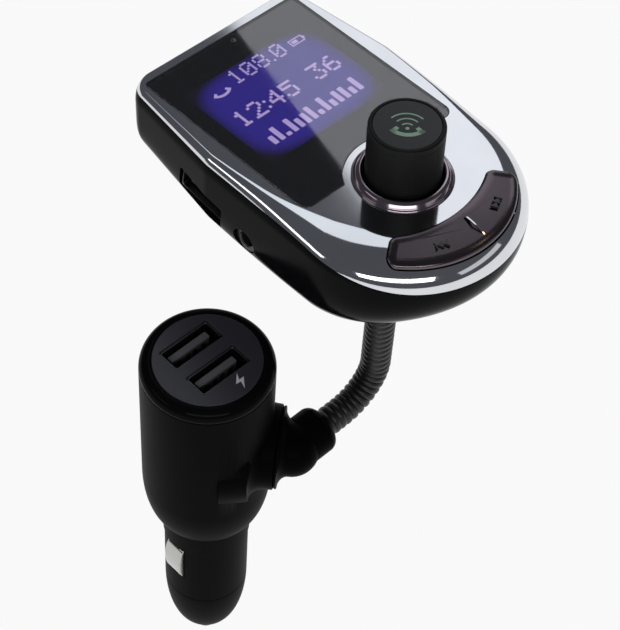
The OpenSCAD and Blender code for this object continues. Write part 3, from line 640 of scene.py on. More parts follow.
@dataclass(frozen=True)
class Finish:
    """A finish: a material by name, and a slot name."""

    name: str
    slot: str

    def material(self) -> bpy.types.Material:
        """Builds the finish, or returns the one already built."""
        if self.name not in bpy.data.materials:
            self.wire(Shade(self.name))
        return bpy.data.materials[self.name]

    def wire(self, shade: Shade) -> None:
        """Wires the material, as each kind of finish does in its own way."""
        raise NotImplementedError


@dataclass(frozen=True)
class Moulding(Finish):
    """A moulded plastic or rubber finish, from satin to high gloss."""

    dark: Colour
    light: Colour
    roughness: float
    variation: float = 0.06
    grain_scale: float = 2600.0
    grain_depth: float = 0.004
    specular: float = 0.5
    metallic: float = 0.0
    tone_scale: float = 60.0
    contrast: float = 0.6
    strength: float = 0.6

    def wire(self, shade: Shade) -> None:
        """Wires two close shades under a fine grain."""
        shade.plain(Metallic=self.metallic, Specular_IOR_Level=self.specular)
        surface = shade.effect(grain(), Scale=self.grain_scale, Roughness=self.roughness,
                               Variation=self.variation)
        shade.link(surface["Roughness"], shade.shader.inputs["Roughness"])
        mask = shade.effect(tone(), Scale=self.tone_scale, Contrast=self.contrast)["Mask"]
        shade.mixed("Base Color", self.dark, self.light, mask)
        shade.bump(surface["Height"], self.strength, self.grain_depth)


@dataclass(frozen=True)
class Metal(Moulding):
    """A plated, turned or rolled metal finish."""

    variation: float = 0.05
    grain_scale: float = 3000.0
    grain_depth: float = 0.001
    metallic: float = 1.0
    tone_scale: float = 90.0
    contrast: float = 0.7
    strength: float = 0.4


@dataclass(frozen=True)
class Glazing(Finish):
    """Clear tinted glass, for the pane over the display."""

    tint: Colour
    roughness: float = 0.02
    wear: float = 0.03

    def wire(self, shade: Shade) -> None:
        """Wires clear glass whose roughness wanders slowly."""
        shade.plain(Transmission_Weight=1.0, IOR=1.7, Base_Color=self.tint)
        surface = shade.effect(grain(), Scale=900.0, Roughness=self.roughness, Variation=self.wear)
        shade.link(surface["Roughness"], shade.shader.inputs["Roughness"])


@dataclass(frozen=True)
class Glow(Finish):
    """Light from the display, strongest in its middle, read from the piece's own UV map."""

    middle: Colour
    border: Colour
    start: float
    end: float

    def wire(self, shade: Shade) -> None:
        """Wires a light that fades from start to end, counted as x to the fourth plus y to the fourth."""
        shade.plain(Base_Color=(0.002, 0.002, 0.003), Roughness=0.6, Specular_IOR_Level=0.0,
                    Emission_Strength=1.0)
        split = shade.node("ShaderNodeSeparateXYZ", {0: shade.coords["UV"]})
        reach = [shade.maths("POWER", shade.maths("MULTIPLY_ADD", split.outputs[side], 2.0, -1.0), 4.0)
                 for side in ("X", "Y")]
        fade = shade.node("ShaderNodeMapRange", {
            "Value": shade.maths("ADD", *reach), "From Min": self.start, "From Max": self.end,
            "To Min": 1.0, "To Max": 0.0}, interpolation_type="SMOOTHSTEP")
        mask = shade.effect(tone(), Scale=45.0, Contrast=1.0)["Mask"]
        blotch = shade.node("ShaderNodeMapRange", {"Value": mask, "To Min": 0.75})
        level = shade.maths("MULTIPLY", fade.outputs[0], blotch.outputs[0])
        shade.mixed("Emission Color", self.border, self.middle, level)


HOUSING = Moulding("housing satin black", "housing_black", (0.0020, 0.0020, 0.0022),
                   (0.0032, 0.0032, 0.0034), 0.42, grain_depth=0.006, specular=0.012)
GLOSS = Moulding("gloss black", "gloss_black", (0.004, 0.004, 0.0046), (0.006, 0.006, 0.007), 0.14,
                 variation=0.04, grain_depth=0.0006, specular=0.025)
SLEEVE = Moulding("ribbed sleeve", "neck_black", (0.009, 0.009, 0.0095), (0.016, 0.016, 0.0165), 0.4,
                  grain_depth=0.008, specular=0.4)
LABEL = Moulding("label plate", "label_grey", (0.042, 0.040, 0.050), (0.054, 0.052, 0.065), 0.3,
                 variation=0.05, grain_depth=0.002, specular=0.4)
KNOB = Moulding("knob matte black", "knob_black", (0.0045, 0.0045, 0.0045), (0.007, 0.007, 0.007), 0.5,
                grain_scale=3600.0, grain_depth=0.008, specular=0.2)
KNOB_TOP = Moulding("knob cap", "knob_black", (0.009, 0.009, 0.0105), (0.013, 0.013, 0.015), 0.34,
                    grain_scale=3600.0, grain_depth=0.006, specular=0.35)
TONGUE = Moulding("contact tongue", "port_black", (0.12, 0.12, 0.125), (0.16, 0.16, 0.165), 0.4)
JACK_BODY = Moulding("jack body", "port_black", (0.01, 0.01, 0.011), (0.016, 0.016, 0.017), 0.35)
MASK = Moulding("screen mask", "gloss_black", (0.0018, 0.0017, 0.002), (0.0024, 0.0023, 0.0026), 0.6,
                grain_depth=0.0, specular=0.0)
MARK = Moulding("printed mark", "label_grey", (0.75, 0.75, 0.78), (0.85, 0.85, 0.88), 0.4)
ICON = Moulding("pale green mark", "knob_black", (0.30, 0.52, 0.38), (0.38, 0.6, 0.45), 0.4)
KEY_MARK = Moulding("key mark", "gloss_black", (0.02, 0.017, 0.02), (0.03, 0.026, 0.03), 0.35)
CHROME = Metal("bright chrome", "chrome", (0.66, 0.67, 0.7), (0.74, 0.75, 0.78), 0.07,
               variation=0.03, grain_depth=0.0004)
RING = Metal("dark chrome", "dark_chrome", (0.3, 0.25, 0.28), (0.38, 0.32, 0.35), 0.13)
KEY = Metal("key dark plating", "gloss_black", (0.10, 0.085, 0.095), (0.135, 0.112, 0.124), 0.2,
            variation=0.05, grain_depth=0.0006)
# Port lining: steel darkened far below the rolled steel so the port openings read black, painted shade of the
# ports' insides.
SHADED_PORT_LINING = Metal("port lining", "steel", (0.10, 0.10, 0.105), (0.15, 0.15, 0.155), 0.34)
SHELL_METAL = Metal("rolled steel", "steel", (0.42, 0.42, 0.44), (0.56, 0.56, 0.57), 0.26)
SPRING_METAL = Metal("bright spring metal", "bright_steel", (0.4, 0.4, 0.385), (0.52, 0.52, 0.5), 0.2)
TIP_METAL = Metal("turned tip", "tip_metal", (0.1, 0.1, 0.1), (0.2, 0.2, 0.19), 0.3)
BRASS = Metal("plain brass", "brass", (0.5, 0.36, 0.14), (0.66, 0.5, 0.24), 0.3)
BOARD = Moulding("circuit board", "board_green", (0.006, 0.05, 0.02), (0.01, 0.08, 0.035), 0.35)
PART = Moulding("board part", "part_dark", (0.012, 0.012, 0.016), (0.03, 0.03, 0.035), 0.4)
PANE = Glazing("tinted pane", "glass", (0.86, 0.84, 0.9))
BACKLIGHT = Glow("display light", "screen", (0.03, 0.018, 0.27), (0.003, 0.0008, 0.006), 0.35, 1.25)
LIT_MARK = Glow("display marks", "screen", (0.5, 0.4, 0.72), (0.4, 0.3, 0.6), 5.0, 6.0)


def booked(piece: bpy.types.Object, body: str, finish: Finish, *nodes: str) -> None:
    """Lets a finished piece ride on its body and stand for its CAD nodes.

    Args:
        piece: The piece.
        body: Name of the body that it moves with.
        finish: Not used.
        *nodes: CAD nodes that it stands for.
    """
    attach(piece, body)
    if nodes:
        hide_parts(*nodes)
    LOG.info("%s on %s", piece.name, body)


def dressed(piece: bpy.types.Object, body: str, finish: Finish, *nodes: str) -> None:
    """Evens out a piece's shading, gives it its finish and books it.

    Args:
        piece: The piece.
        body: Name of the body that it moves with.
        finish: Its finish.
        *nodes: CAD nodes that it stands for.
    """
    step = piece.modifiers.new("normals", "WEIGHTED_NORMAL")
    step.keep_sharp, step.weight = True, 100
    settled(piece)
    painted(piece, finish)
    booked(piece, body, finish, *nodes)


def painted(piece: bpy.types.Object, finish: Finish) -> None:
    """Gives a piece one finish in place of what it has."""
    piece.data.materials.clear()
    piece.data.materials.append(finish.material())


def coloured(finish: Finish, *nodes: str) -> None:
    """Gives CAD nodes that stay in view their finish."""
    for node in nodes:
        painted(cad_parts[node], finish)


# Marks


def band(centre: Point2, outer: float, inner: float, start: float, end: float, steps: int = 24
         ) -> list[Point2]:
    """Outline of a curved band between two radii.

    Args:
        centre: Middle of both arcs.
        outer: Outer radius.
        inner: Inner radius.
        start: First angle in degrees.
        end: Last angle in degrees.
        steps: Steps along each arc.

    Returns:
        The outline, counter-clockwise.
    """
    return arc(centre, outer, start, end, steps) + arc(centre, inner, end, start, steps)


def handset(centre: Point2, size: float) -> list[list[Point2]]:
    """Outlines of a plain telephone handset, its hollow side up.

    Args:
        centre: Middle of its curve.
        size: Radius of its outer curve.

    Returns:
        The grip and the two ends.
    """
    ends = [shifted(band((0, 0), size, size * 0.62, turn, turn + 15, 4), *centre) for turn in (223, 302)]
    return [band(centre, size, size * 0.8, 223, 317, 20), *ends]


def printed(name: str, place: Matrix, shapes: list[list[Point2]], finish: Finish, body: str,
            thick: float = 0.02) -> None:
    """Thin printed mark on a face.

    Args:
        name: The mark's name.
        place: Frame on the face, its z pointing out.
        shapes: The mark's outlines, counter-clockwise.
        finish: Its finish.
        body: Body that it moves with.
        thick: Thickness of the print.
    """
    made = Form(place)
    for shape in shapes:
        made.prism(shape, 0.0, thick)
    dressed(made.build(name), body, finish)


GLYPHS = {
    "0": "0e11131519110e", "1": "040c040404040e", "2": "0e11010204081f", "3": "1f02040201110e",
    "4": "02060a121f0202", "5": "1f101e0101110e", "6": "0608101e11110e", "7": "1f010204080808",
    "8": "0e11110e11110e", "9": "0e11110f01020c",
}


def dots(text: str, left: float, low: float, pitch: float) -> list[Vector]:
    """Dot matrix places of plain numbers.

    Args:
        text: Digits, spaces, colons and points.
        left: Where the text starts.
        low: Its base line.
        pitch: Distance between dots.

    Returns:
        The dots' places.
    """
    spots, x, wide = [], left, 5
    for sign in text:
        if sign in ":.":
            rows = (1, 4) if sign == ":" else (0,)
            spots += [Vector((x, low + row * pitch, 0)) for row in rows]
            x += 2 * pitch
            continue
        rows = bytes.fromhex(GLYPHS.get(sign, ""))
        for row, bits in enumerate(rows):
            spots += [Vector((x + k * pitch, low + (len(rows) - 1 - row) * pitch, 0))
                      for k in range(wide) if bits >> (wide - 1 - k) & 1]
        x += (wide + 1) * pitch
    return spots


# Ports


@dataclass
class Port:
    """One USB-A opening: its rolled shell, its tongue and the contacts on the tongue."""

    place: Matrix
    depth: float
    width: float = 13.6
    height: float = 5.7
    sheet: float = 0.3
    base: float = 2.4
    step: float = 0.9
    tongue_w: float = 11.1
    tongue_t: float = 1.8

    def shell(self) -> Form:
        """Rolled metal shell, its mouth at the frame's origin."""
        outer = rounded_box(self.width, self.height, 0.7, 6)
        inner = rounded_box(self.width - 2 * self.sheet, self.height - 2 * self.sheet, 0.45, 6)
        low, high = -self.depth, -0.02
        cuts = ((outer, low), (outer, high - 0.1), (inset(outer, 0.08), high),
                (inset(inner, -0.08), high), (inner, high - 0.12), (inner, low), (outer, low))
        return Form(self.place).loft([raised(*cut) for cut in cuts], caps=False)

    def tongue(self) -> Form:
        """Contact tongue on the block that closes the shell's inner end."""
        made, back = Form(self.place), self.base - self.depth
        made.prism(rounded_box(self.width - 0.7, self.height - 0.7, 0.3, 3), -self.depth, back)
        blade = shifted(rounded_box(self.tongue_w, self.tongue_t, 0.3, 3), 0, self.step)
        return made.prism(blade, back - 0.1, -1.42, 0.25)

    def build(self, name: str, node: str, body: str) -> None:
        """Makes the shell, the tongue and the four plated contacts on it.

        Args:
            name: The pieces' names, with %s for the part.
            node: The CAD nodes' names, with %s for the part.
            body: Body that they move with.
        """
        # The shell takes the darkened lining finish: painted shade inside the opening.
        dressed(self.shell().build(name % "shell"), body, SHADED_PORT_LINING, node % "shell")
        dressed(self.tongue().build(name % "tongue"), body, TONGUE, node % "tongue")
        pad = Form(unplaced(self.place))
        pad.prism(rounded_box(1.1, 0.12, 0.04, 2), self.base - self.depth + 0.1, -2.4)
        low = self.step - self.tongue_t / 2 - 0.02
        spots = [self.place @ Vector((x, low, 0)) for x in (-3.5, -1.0, 1.0, 3.5)]
        repeated(name % "pads", pad.build("pad"), spots, body, BRASS)


# Plug


@dataclass
class Plug:
    """The plug for the vehicle's socket: housing, charging face, barrel, nose and contacts."""

    housing_r: float = 15.19
    face_z: float = 63.0
    bezel_z: float = 60.0
    shoulder_top: float = 20.0
    shoulder_h: float = 15.0
    collar_top: float = 5.0
    collar_end: float = -5.0
    collar_r: float = 10.55
    barrel_r: float = 10.25
    barrel_end: float = -27.0
    nose_len: float = 21.2
    nose_r: float = 4.2
    tip_r: float = 3.0
    tip_out: float = 7.3
    label_r: float = 12.29
    label_z: float = 61.6
    port_y: tuple[float, float] = (5.4, -3.5)
    port_depth: float = 14.0
    port_sink: float = 0.45
    boss_r: float = 10.0
    boss_z: float = 32.0
    boss_deg: float = -51.0
    seat_u: float = 16.59
    clip_w: float = 5.4
    clip_len: float = 12.0
    clip_z: float = -11.6

    def boss_frame(self) -> Matrix:
        """Frame on the swivel's axis, its z pointing out of the housing."""
        return moved(0, 0, self.boss_z) @ turned(self.boss_deg, "Z") @ turned(90, "Y")

    def housing(self) -> None:
        """Fat upper housing with the flared boss that the swivel sits on."""
        r, top, face = self.housing_r, self.shoulder_top, self.bezel_z
        grow = r - self.collar_r - 0.3
        profile = [(0.0, top - 2), (8.95, top - 2), (8.95, self.collar_top),
                   (self.collar_r - 0.2, self.collar_top), (self.collar_r, self.collar_top + 0.15),
                   *arc((r - grow, top + 0.1), grow, 86, 0, 23, -self.shoulder_h),
                   (r, face - 0.25), (r - 0.12, face - 0.06), (r - 0.3, face), (12.9, face),
                   (12.9, top), (0.0, top)]
        body = Form().revolve(profile, 160).build("plug_housing_shell")
        boss_r, seat = self.boss_r, self.seat_u
        flare = [(0.0, 5.0), (boss_r + 5.2, 5.0)]
        flare += [(boss_r + 3.4 * (1 - math.sin(a)) ** 1.3, 11.2 + (seat - 11.5) * (1 - math.cos(a)))
                  for a in np.radians(np.linspace(0, 90, 14))]
        flare += [(boss_r - 0.1, seat - 0.12), (boss_r - 0.35, seat), (0.0, seat)]
        boss = Form(self.boss_frame()).revolve(flare, 96).build("boss")
        dressed(combined(body, [boss], "UNION"), "plug", HOUSING, "plug_housing")

    def bezel(self) -> None:
        """Rounded glossy bezel round the charging face."""
        inner, outer, low, bead = self.label_r + 0.1, self.housing_r, self.bezel_z, 0.3
        profile = [(11.75, low - 1.1), (12.85, low - 1.1), (12.85, low + 0.02),
                   (outer - 0.3, low + 0.02), (outer - 0.08, low + 0.1),
                   *arc((inner + bead, low + 0.35), outer - inner - bead, 0, 90, 13,
                        self.face_z - low - 0.35),
                   (inner, self.face_z - 0.18), (inner, self.label_z), (11.75, self.label_z)]
        dressed(Form().revolve(profile, 160).build("bezel"), "plug", GLOSS, "bezel_ring")

    def label(self) -> None:
        """Label plate with its two port openings."""
        disc = arc((0, 0), self.label_r, 0, 357.5, 143)
        plate = Form().prism(disc, self.label_z, self.face_z, 0.2).build("label_disc")
        hole = rounded_box(Port.width + 0.2, Port.height + 0.2, 0.35, 4)
        cutters = [punch(moved(0, y, 0), hole, self.label_z - 1, self.face_z + 1) for y in self.port_y]
        plate = rounded_edges(combined(plate, cutters, "DIFFERENCE"), 0.12, 50)
        dressed(plate, "plug", LABEL, "label_plate")

    def bolt(self) -> None:
        """Printed lightning bolt beside the front port."""
        shape = [(2.3, -6.9), (0.2, -9.0), (1.45, -9.2), (0.9, -11.05), (2.8, -8.6), (1.5, -8.6)]
        printed("bolt_mark", moved(0, 0, self.face_z), [shape], MARK, "plug")

    def ports(self) -> None:
        """The two charging ports."""
        for key, y in zip(("rear", "front"), self.port_y):
            port = Port(moved(0, y, self.face_z - self.port_sink), self.port_depth - self.port_sink)
            port.build(f"charge_%s_{key}", f"port_%s_{key}", "plug")

    def barrel(self) -> None:
        """Barrel below the collar, with the slots that the clips stand in."""
        collar, r = self.collar_r, self.barrel_r
        top, ledge, end = self.collar_top, self.collar_end, self.barrel_end
        profile = [(7.9, 19.4), (8.8, 19.4), (8.8, top - 0.02), (collar - 0.15, top - 0.02),
                   (collar, top - 0.2), (collar, ledge + 0.25), (collar - 0.12, ledge + 0.05),
                   (r + 0.02, ledge - 0.02), (r, ledge - 0.15), (r, end + 0.12), (r - 0.15, end + 0.01),
                   (8.7, end + 0.01), (8.7, -3.2), (7.9, -2.6)]
        body = Form().revolve(profile, 144).build("barrel")
        slot = rounded_box(5.4, self.clip_w + 0.5, 0.2, 3)
        cutters = [punch(moved(side * r, 0, self.clip_z), slot, -6.25, 6.25) for side in (-1, 1)]
        dressed(combined(body, cutters, "DIFFERENCE"), "plug", HOUSING, "plug_barrel")

    def nose(self) -> None:
        """Rounded nose cap with a narrow seam to the barrel."""
        r, low = self.barrel_r, self.barrel_end
        end = low - self.nose_len
        profile = [(5.6, low + 5.6), (8.65, low + 5.6), (8.65, low - 0.02), (r - 0.2, low - 0.02),
                   (r - 0.03, low - 0.16),
                   *arc((self.nose_r, low), r - self.nose_r, 2, 84, 27, -self.nose_len),
                   (self.nose_r, end), (self.tip_r + 0.07, end), (self.tip_r + 0.07, end + 5),
                   (4.7, end + 5), (5.6, end + 8)]
        dressed(Form().revolve(profile, 144).build("nose"), "plug", HOUSING, "nose_cap")

    def tip(self) -> None:
        """Turned centre contact with a rounded end."""
        r, end = self.tip_r, self.barrel_end - self.nose_len
        low = end - self.tip_out
        profile = [(0.0, low), (0.9, low + 0.02), (1.5, low + 0.22), (2.3, low + 0.8), (2.8, low + 1.5),
                   (r, low + 2.1), (r, low + 3.4), (r - 0.12, low + 3.5), (r - 0.12, low + 3.8),
                   (r, low + 3.9), (r, end + 4.95), (3.84, end + 4.97), (3.84, end + 6.95),
                   (0.0, end + 6.95)]
        dressed(Form().revolve(profile, 72).build("centre_contact"), "tip", TIP_METAL, "tip_contact")

    def clips(self) -> None:
        """Bowed spring clips on the barrel's two sides, each with its two feet."""
        half, w, z = self.clip_len / 2, self.clip_w / 2, self.clip_z
        for name, side in (("clip_left", -1), ("clip_right", 1)):
            rings = []
            for a in np.radians(np.linspace(-90, 90, 25)):
                bow = 8.7 + 2.6 * (0.35 + 0.65 * math.cos(a))
                skin = [(8.3, -w), (bow - 0.35, -w), (bow - 0.1, 0.12 - w), (bow, 0.4 - w),
                        (bow, w - 0.4), (bow - 0.1, w - 0.12), (bow - 0.35, w), (8.3, w)]
                rings.append([(side * x, y, z + half * math.sin(a)) for x, y in skin])
            clip = Form().loft(rings)
            for inner, outer, wide, reach in ((7.65, 8.15, 3.2, half), (8.1, 8.4, 2.6, half - 0.05)):
                foot = [(side * x, y) for x, y in box(inner, -wide, outer, wide)]
                clip.loft([raised(foot, z - reach), raised(foot, z + reach)])
            dressed(clip.build(f"{name}_spring", ROUND), name, SPRING_METAL, name)

    def build(self) -> None:
        """Makes every piece of the plug."""
        for make in (self.housing, self.bezel, self.label, self.bolt, self.ports, self.barrel,
                     self.nose, self.tip, self.clips):
            make()
        coloured(BOARD, "port_board", "charge_board")
        coloured(PART, "capacitor", "choke")
        coloured(SHELL_METAL, "tip_spring", "fuse")
        coloured(BRASS, "spring_seat")


# Swivel and neck


@dataclass
class Swivel:
    """Swivel dome with its ferrule, on the plug's boss."""

    dome_u: float = 19.69
    dome_r: float = 6.5
    seat_u: float = 16.69
    flare_r: float = 9.7
    ferrule_r: float = 5.8
    collar_x: float = 20.09
    collar_w: float = 1.8
    rib_r: float = 3.55

    def build(self, plug: Plug) -> None:
        """Makes the elbow and the ring on the ferrule's end.

        Args:
            plug: The plug that the swivel sits on.
        """
        place = plug.boss_frame()
        centre = place @ Vector((0, 0, self.dome_u))
        flare, seat = self.flare_r, self.seat_u
        profile = [(0.0, 9.7), (3.0, 9.7), (3.0, seat), (flare - 0.25, seat), (flare, seat + 0.2),
                   (flare, seat + 0.55), *arc((flare, seat + 3.0), flare - self.dome_r, 270, 180, 11, 2.4),
                   *arc((0.0, self.dome_u), self.dome_r, 6, 90, 15)]
        dome = Form(place).revolve(profile, 96).build("swivel_dome")
        along = Matrix.Translation(centre) @ turned(90, "Y")
        end, r, bore = self.collar_x - centre.x, self.ferrule_r, self.rib_r + 0.1
        sleeve = [(0.0, 0.0), (r, 0.0), (r, end - 0.1), (r - 0.1, end), (bore, end),
                  (bore, end - 2.0), (0.0, end - 2.0)]
        ferrule = Form(along).revolve(sleeve, 96).build("ferrule")
        dressed(combined(dome, [ferrule], "UNION"), "elbow", HOUSING, "swivel_elbow")
        inner = self.rib_r + 0.72
        ring = [(bore, end), (r - 0.12, end), (r, end + 0.12),
                *arc((inner, end), r - inner, 5, 90, 9, self.collar_w), (bore, end + self.collar_w)]
        dressed(Form(along).revolve(ring, 96).build("ferrule_ring"), "elbow", GLOSS, "neck_collar")
        coloured(SHELL_METAL, "swivel_screw")


@dataclass
class Neck:
    """Flexible ribbed neck: a level run, a quarter bend and an upright run."""

    start: Point3 = (18.112, -15.303, 32.0)
    run: float = 9.3
    bend_r: float = 11.0
    top: float = 83.7
    rib_r: float = 3.55
    rib_depth: float = 0.42
    pitch: float = 1.8
    sides: int = 40
    steps: int = 10
    joints: tuple[float, float] = (58.0, 70.0)
    reach: float = 4.6

    def upright(self, height: float) -> float:
        """Length along the centre line at a height of its upright run."""
        return self.run + self.bend_r * math.pi / 2 + height - self.start[2] - self.bend_r

    def spot(self, s: float) -> tuple[Vector, float]:
        """Where the centre line is at a length along it, and its slope in radians."""
        x0, y, z0 = self.start
        if s <= self.run:
            return Vector((x0 + s, y, z0)), 0.0
        x0, z0, turn = x0 + self.run, z0 + self.bend_r, (s - self.run) / self.bend_r
        if turn < math.pi / 2:
            return Vector((x0 + self.bend_r * math.sin(turn), y, z0 - self.bend_r * math.cos(turn))), turn
        over = s - self.run - self.bend_r * math.pi / 2
        return Vector((x0 + self.bend_r, y, z0 + over)), math.pi / 2

    @staticmethod
    @cache
    def ribs() -> bpy.types.NodeTree:
        """Tree that sweeps a ribbed tube along a line of points."""
        grower = Grower("ribbed sleeve", Start="Float", Rib_Pitch="Float", Rib_Radius="Float",
                        Rib_Depth="Float", Rings="Int", Sides="Int")
        given, maths = grower.given, grower.maths
        line = grower.node("GeometryNodeMeshToCurve", {"Mesh": given["Geometry"]})
        even = grower.node("GeometryNodeResampleCurve", {"Curve": line.outputs[0], "Count": given["Rings"]})
        along = grower.node("GeometryNodeSplineParameter").outputs["Length"]
        share = maths("FRACT", maths("DIVIDE", maths("ADD", along, given["Start"]), given["Rib Pitch"]))
        wave = maths("SINE", maths("MULTIPLY", share, math.pi))
        crest = maths("POWER", maths("MAXIMUM", wave, 0.0), 0.6)
        groove = maths("MULTIPLY", maths("SUBTRACT", 1.0, crest), given["Rib Depth"])
        radius = maths("SUBTRACT", given["Rib Radius"], groove)
        loop = grower.node("GeometryNodeCurvePrimitiveCircle", {"Resolution": given["Sides"], "Radius": 1.0})
        tube = grower.node("GeometryNodeCurveToMesh", {
            "Curve": even.outputs[0], "Profile Curve": loop.outputs[0], "Scale": radius, "Fill Caps": True})
        return grower.finish(tube.outputs[0])

    def sleeve(self, name: str, low: float, high: float) -> bpy.types.Object:
        """Swept ribbed sleeve between two lengths along the neck.

        Args:
            name: The piece's name.
            low: Length where it starts.
            high: Length where it ends.

        Returns:
            The piece.
        """
        rings = round((high - low) / self.pitch * self.steps) + 1
        spots = [self.spot(low + (high - low) * i / rings)[0] for i in range(rings + 1)]
        piece = grown(name, spots, True, self.ribs(), Start=low * MM, Rib_Pitch=self.pitch * MM,
                      Rib_Radius=self.rib_r * MM, Rib_Depth=self.rib_depth * MM, Rings=rings,
                      Sides=self.sides, Material=SLEEVE.material())
        tidy(piece.data)
        soften(piece.data, 60.0)
        return piece

    def build(self) -> None:
        """Makes the three sleeves in place of the neck's CAD nodes."""
        side, upper = (self.upright(height) for height in self.joints)
        middle = self.run + self.bend_r * math.pi / 4
        cut_low, cut_high = (round((a + b) / 2 / self.pitch) * self.pitch
                             for a, b in ((middle, side), (side, upper)))
        spans = (("sleeve_low", 0.0, cut_low, "elbow", "neck_low", middle, ("neck_root", "neck_bend")),
                 ("sleeve_mid", cut_low, cut_high, "neck_low", "neck_high", side, ("neck_mid",)),
                 ("sleeve_high", cut_high, self.upright(self.top), "neck_high", "head", upper,
                  ("neck_crown",)))
        for name, low, high, below, above, joint, nodes in spans:
            piece = self.sleeve(name, low, high)
            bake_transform(piece)
            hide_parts(*nodes)
            LOG.info("%s from %s to %s", name, below, above)


# Head


class Skin(Enum):
    """Which skin of the head a cut follows."""

    OUTER = 0.0
    INNER = 2.0


@dataclass
class Head:
    """Display head: shell, chrome face, glass, display, dial, rocker key and side ports.

    Its face is the plane z = 0 of its own frame, with the dial's axis at the origin and the display
    towards +y. The tables from roll_in to fullness hold one value for each place in spots_y, and
    blur is the distance over which they are averaged.
    """

    origin: Point3 = (39.446, -15.729, 107.838)
    tilt_deg: float = -3.5
    lean_deg: float = 2.3
    low_r: float = 27.0
    mid_half_w: float = 27.3
    top_half_w: float = 24.5
    top: float = 59.2
    corner_r: float = 5.0
    depth: float = 25.738
    neck: Point3 = (38.412, -15.303, 80.7)
    wedge_deg: float = 8.5
    mid_r: float = 12.0
    mid_y: float = 30.0
    mid_turn: float = 8.0
    spine_top: float = 45.0
    under_deg: float = 82.0
    spots_y: tuple[float, ...] = (-25.0, -18.0, -8.0, 0.0, 9.0, 22.0, 45.0)
    roll_in: tuple[float, ...] = (10.0, 10.5, 10.5, 8.6, 4.4, 2.8, 1.7)
    widest: tuple[float, ...] = (7.6, 7.0, 5.8, 5.0, 4.7, 4.4, 4.2)
    chrome_low: tuple[float, ...] = (7.4, 6.7, 4.6, 3.3, 2.6, 2.0, 1.3)
    fullness: tuple[float, ...] = (2.08, 2.7, 3.8, 4.6, 5.4, 6.4, 7.0)
    blur: float = 7.0
    seam: float = 0.12
    thick: float = 1.4
    glass_low: float = 6.2
    glass_top: float = 56.25
    glass_half_w: float = 21.7
    ring_r: float = 10.75
    knob_r: float = 8.05
    knob_h: float = 14.7
    screen_w: float = 35.4
    screen_l: float = 28.0
    screen_mid: float = 34.6
    key_out_r: float = 24.0
    key_in_r: float = 26.0
    key_gap: float = 14.9
    key_slope: float = 1.5
    key_round: float = 2.0
    side_y: float = 33.0
    side_z: float = -13.457
    side_x: float = 26.7
    port_in: float = 1.2
    port_depth: float = 12.0
    jack_y: float = 18.9
    jack_r: float = 3.1
    mic: Point2 = (1.9, 54.05)
    pane_low: float = -1.0
    screws: tuple[Point2, ...] = ((20.1, 1.0), (-20.1, 1.0), (17.9, 52.6), (-17.9, 52.6))

    def floor(self, y: float) -> float:
        """Height of the sloped underside at a distance along the head."""
        return -self.depth + y * math.tan(math.radians(self.wedge_deg))

    def frame(self) -> Matrix:
        """The head's own frame, its z out of the face."""
        return Matrix.Translation(self.origin) @ turned(self.lean_deg, "Y") @ turned(self.tilt_deg, "X")

    def screen(self) -> Matrix:
        """Frame in the middle of the display, level with the face."""
        return self.frame() @ moved(0, self.screen_mid, 0)

    def outline(self, depth: float) -> list[Point2]:
        """The head's outline, drawn in by a depth."""
        r, grow = max(self.corner_r - depth, 0.6), self.mid_half_w - self.low_r
        side = arc((0, grow), self.low_r - depth, -90, 0, 72)
        side += [(self.low_r + grow * y / self.mid_y - depth, y) for y in range(2, 29)]
        side += arc((self.mid_half_w - self.mid_r, self.mid_y), self.mid_r - depth, 0, self.mid_turn, 6)
        side += arc((self.top_half_w - depth - r, self.top - depth - r), r, self.mid_turn, 90, 18)
        return side + mirrored(side)[:-1]

    def along(self, values: tuple[float, ...], y: float) -> float:
        """A size that changes along the head, at a distance from the dial."""
        near = y + self.blur * np.linspace(-1, 1, 15)
        return float(np.mean(np.interp(near, self.spots_y, values)))

    def face_z(self, x: float, y: float) -> float:
        """Height of the domed face at a place on it."""
        widths = (self.mid_half_w, self.mid_half_w, self.top_half_w)
        half = float(np.interp(y, (0, self.mid_y, self.top), widths))
        depth = self.low_r - math.hypot(x, y) if y < 0 else half - abs(x)
        reach = self.along(self.roll_in, y)
        share = min(max(1 - depth / reach, 0.0), 1.0)
        return -self.along(self.widest, y) * (1 - math.sqrt(1 - share * share))

    def bend(self, y: float) -> float:
        """Angle round the head's side, in radians, where its chrome ends."""
        low, wide = self.along(self.chrome_low, y), self.along(self.widest, y)
        if low < wide:
            return math.asin((wide - low) / wide)
        return -math.asin((low - wide) / (self.depth - wide))

    def ring(self, skin: Skin, turns: Callable[[float], float], gap: float = 0.0) -> list[Point3]:
        """One closed cut of the head's side.

        Args:
            skin: The skin that it follows.
            turns: Angle round the side at each distance along the head, in radians: a quarter
                turn at the face, nought at the widest place, minus a quarter turn below.
            gap: How far the cut stays inside the skin.

        Returns:
            The cut's points in the head's frame.
        """
        points = []
        for x, y in self.outline(skin.value + gap):
            turn = turns(y)
            reach, wide = self.along(self.roll_in, y), self.along(self.widest, y)
            spine = Vector((0, min(max(y, 0.0), self.spine_top)))
            off = Vector((x, y)) - spine
            if turn >= 0:
                scale = 1 - reach * (1 - math.cos(turn)) / off.length
                z = wide * (math.sin(turn) - 1)
            else:
                full, low = self.along(self.fullness, y), self.depth - skin.value - wide
                low -= max(y, 0.0) * math.tan(math.radians(self.wedge_deg))
                scale = (1 - abs(math.sin(turn)) ** full) ** (1 / full)
                z = low * math.sin(turn) - wide
            spot = spine + off * scale
            points.append((spot.x, spot.y, z))
        return points

    def sweep(self, skin: Skin, start: Callable[[float], float], end: Callable[[float], float],
              shares: Iterable[float]) -> list[list[Point3]]:
        """Cuts that follow each other round the head's side.

        Args:
            skin: The skin that they follow.
            start: Angle of a share of nought, at each distance along the head.
            end: Angle of a share of one, at each distance along the head.
            shares: Where the cuts are between the two.

        Returns:
            The cuts.
        """
        return [self.ring(skin, lambda y, s=s: start(y) + (end(y) - start(y)) * s) for s in shares]

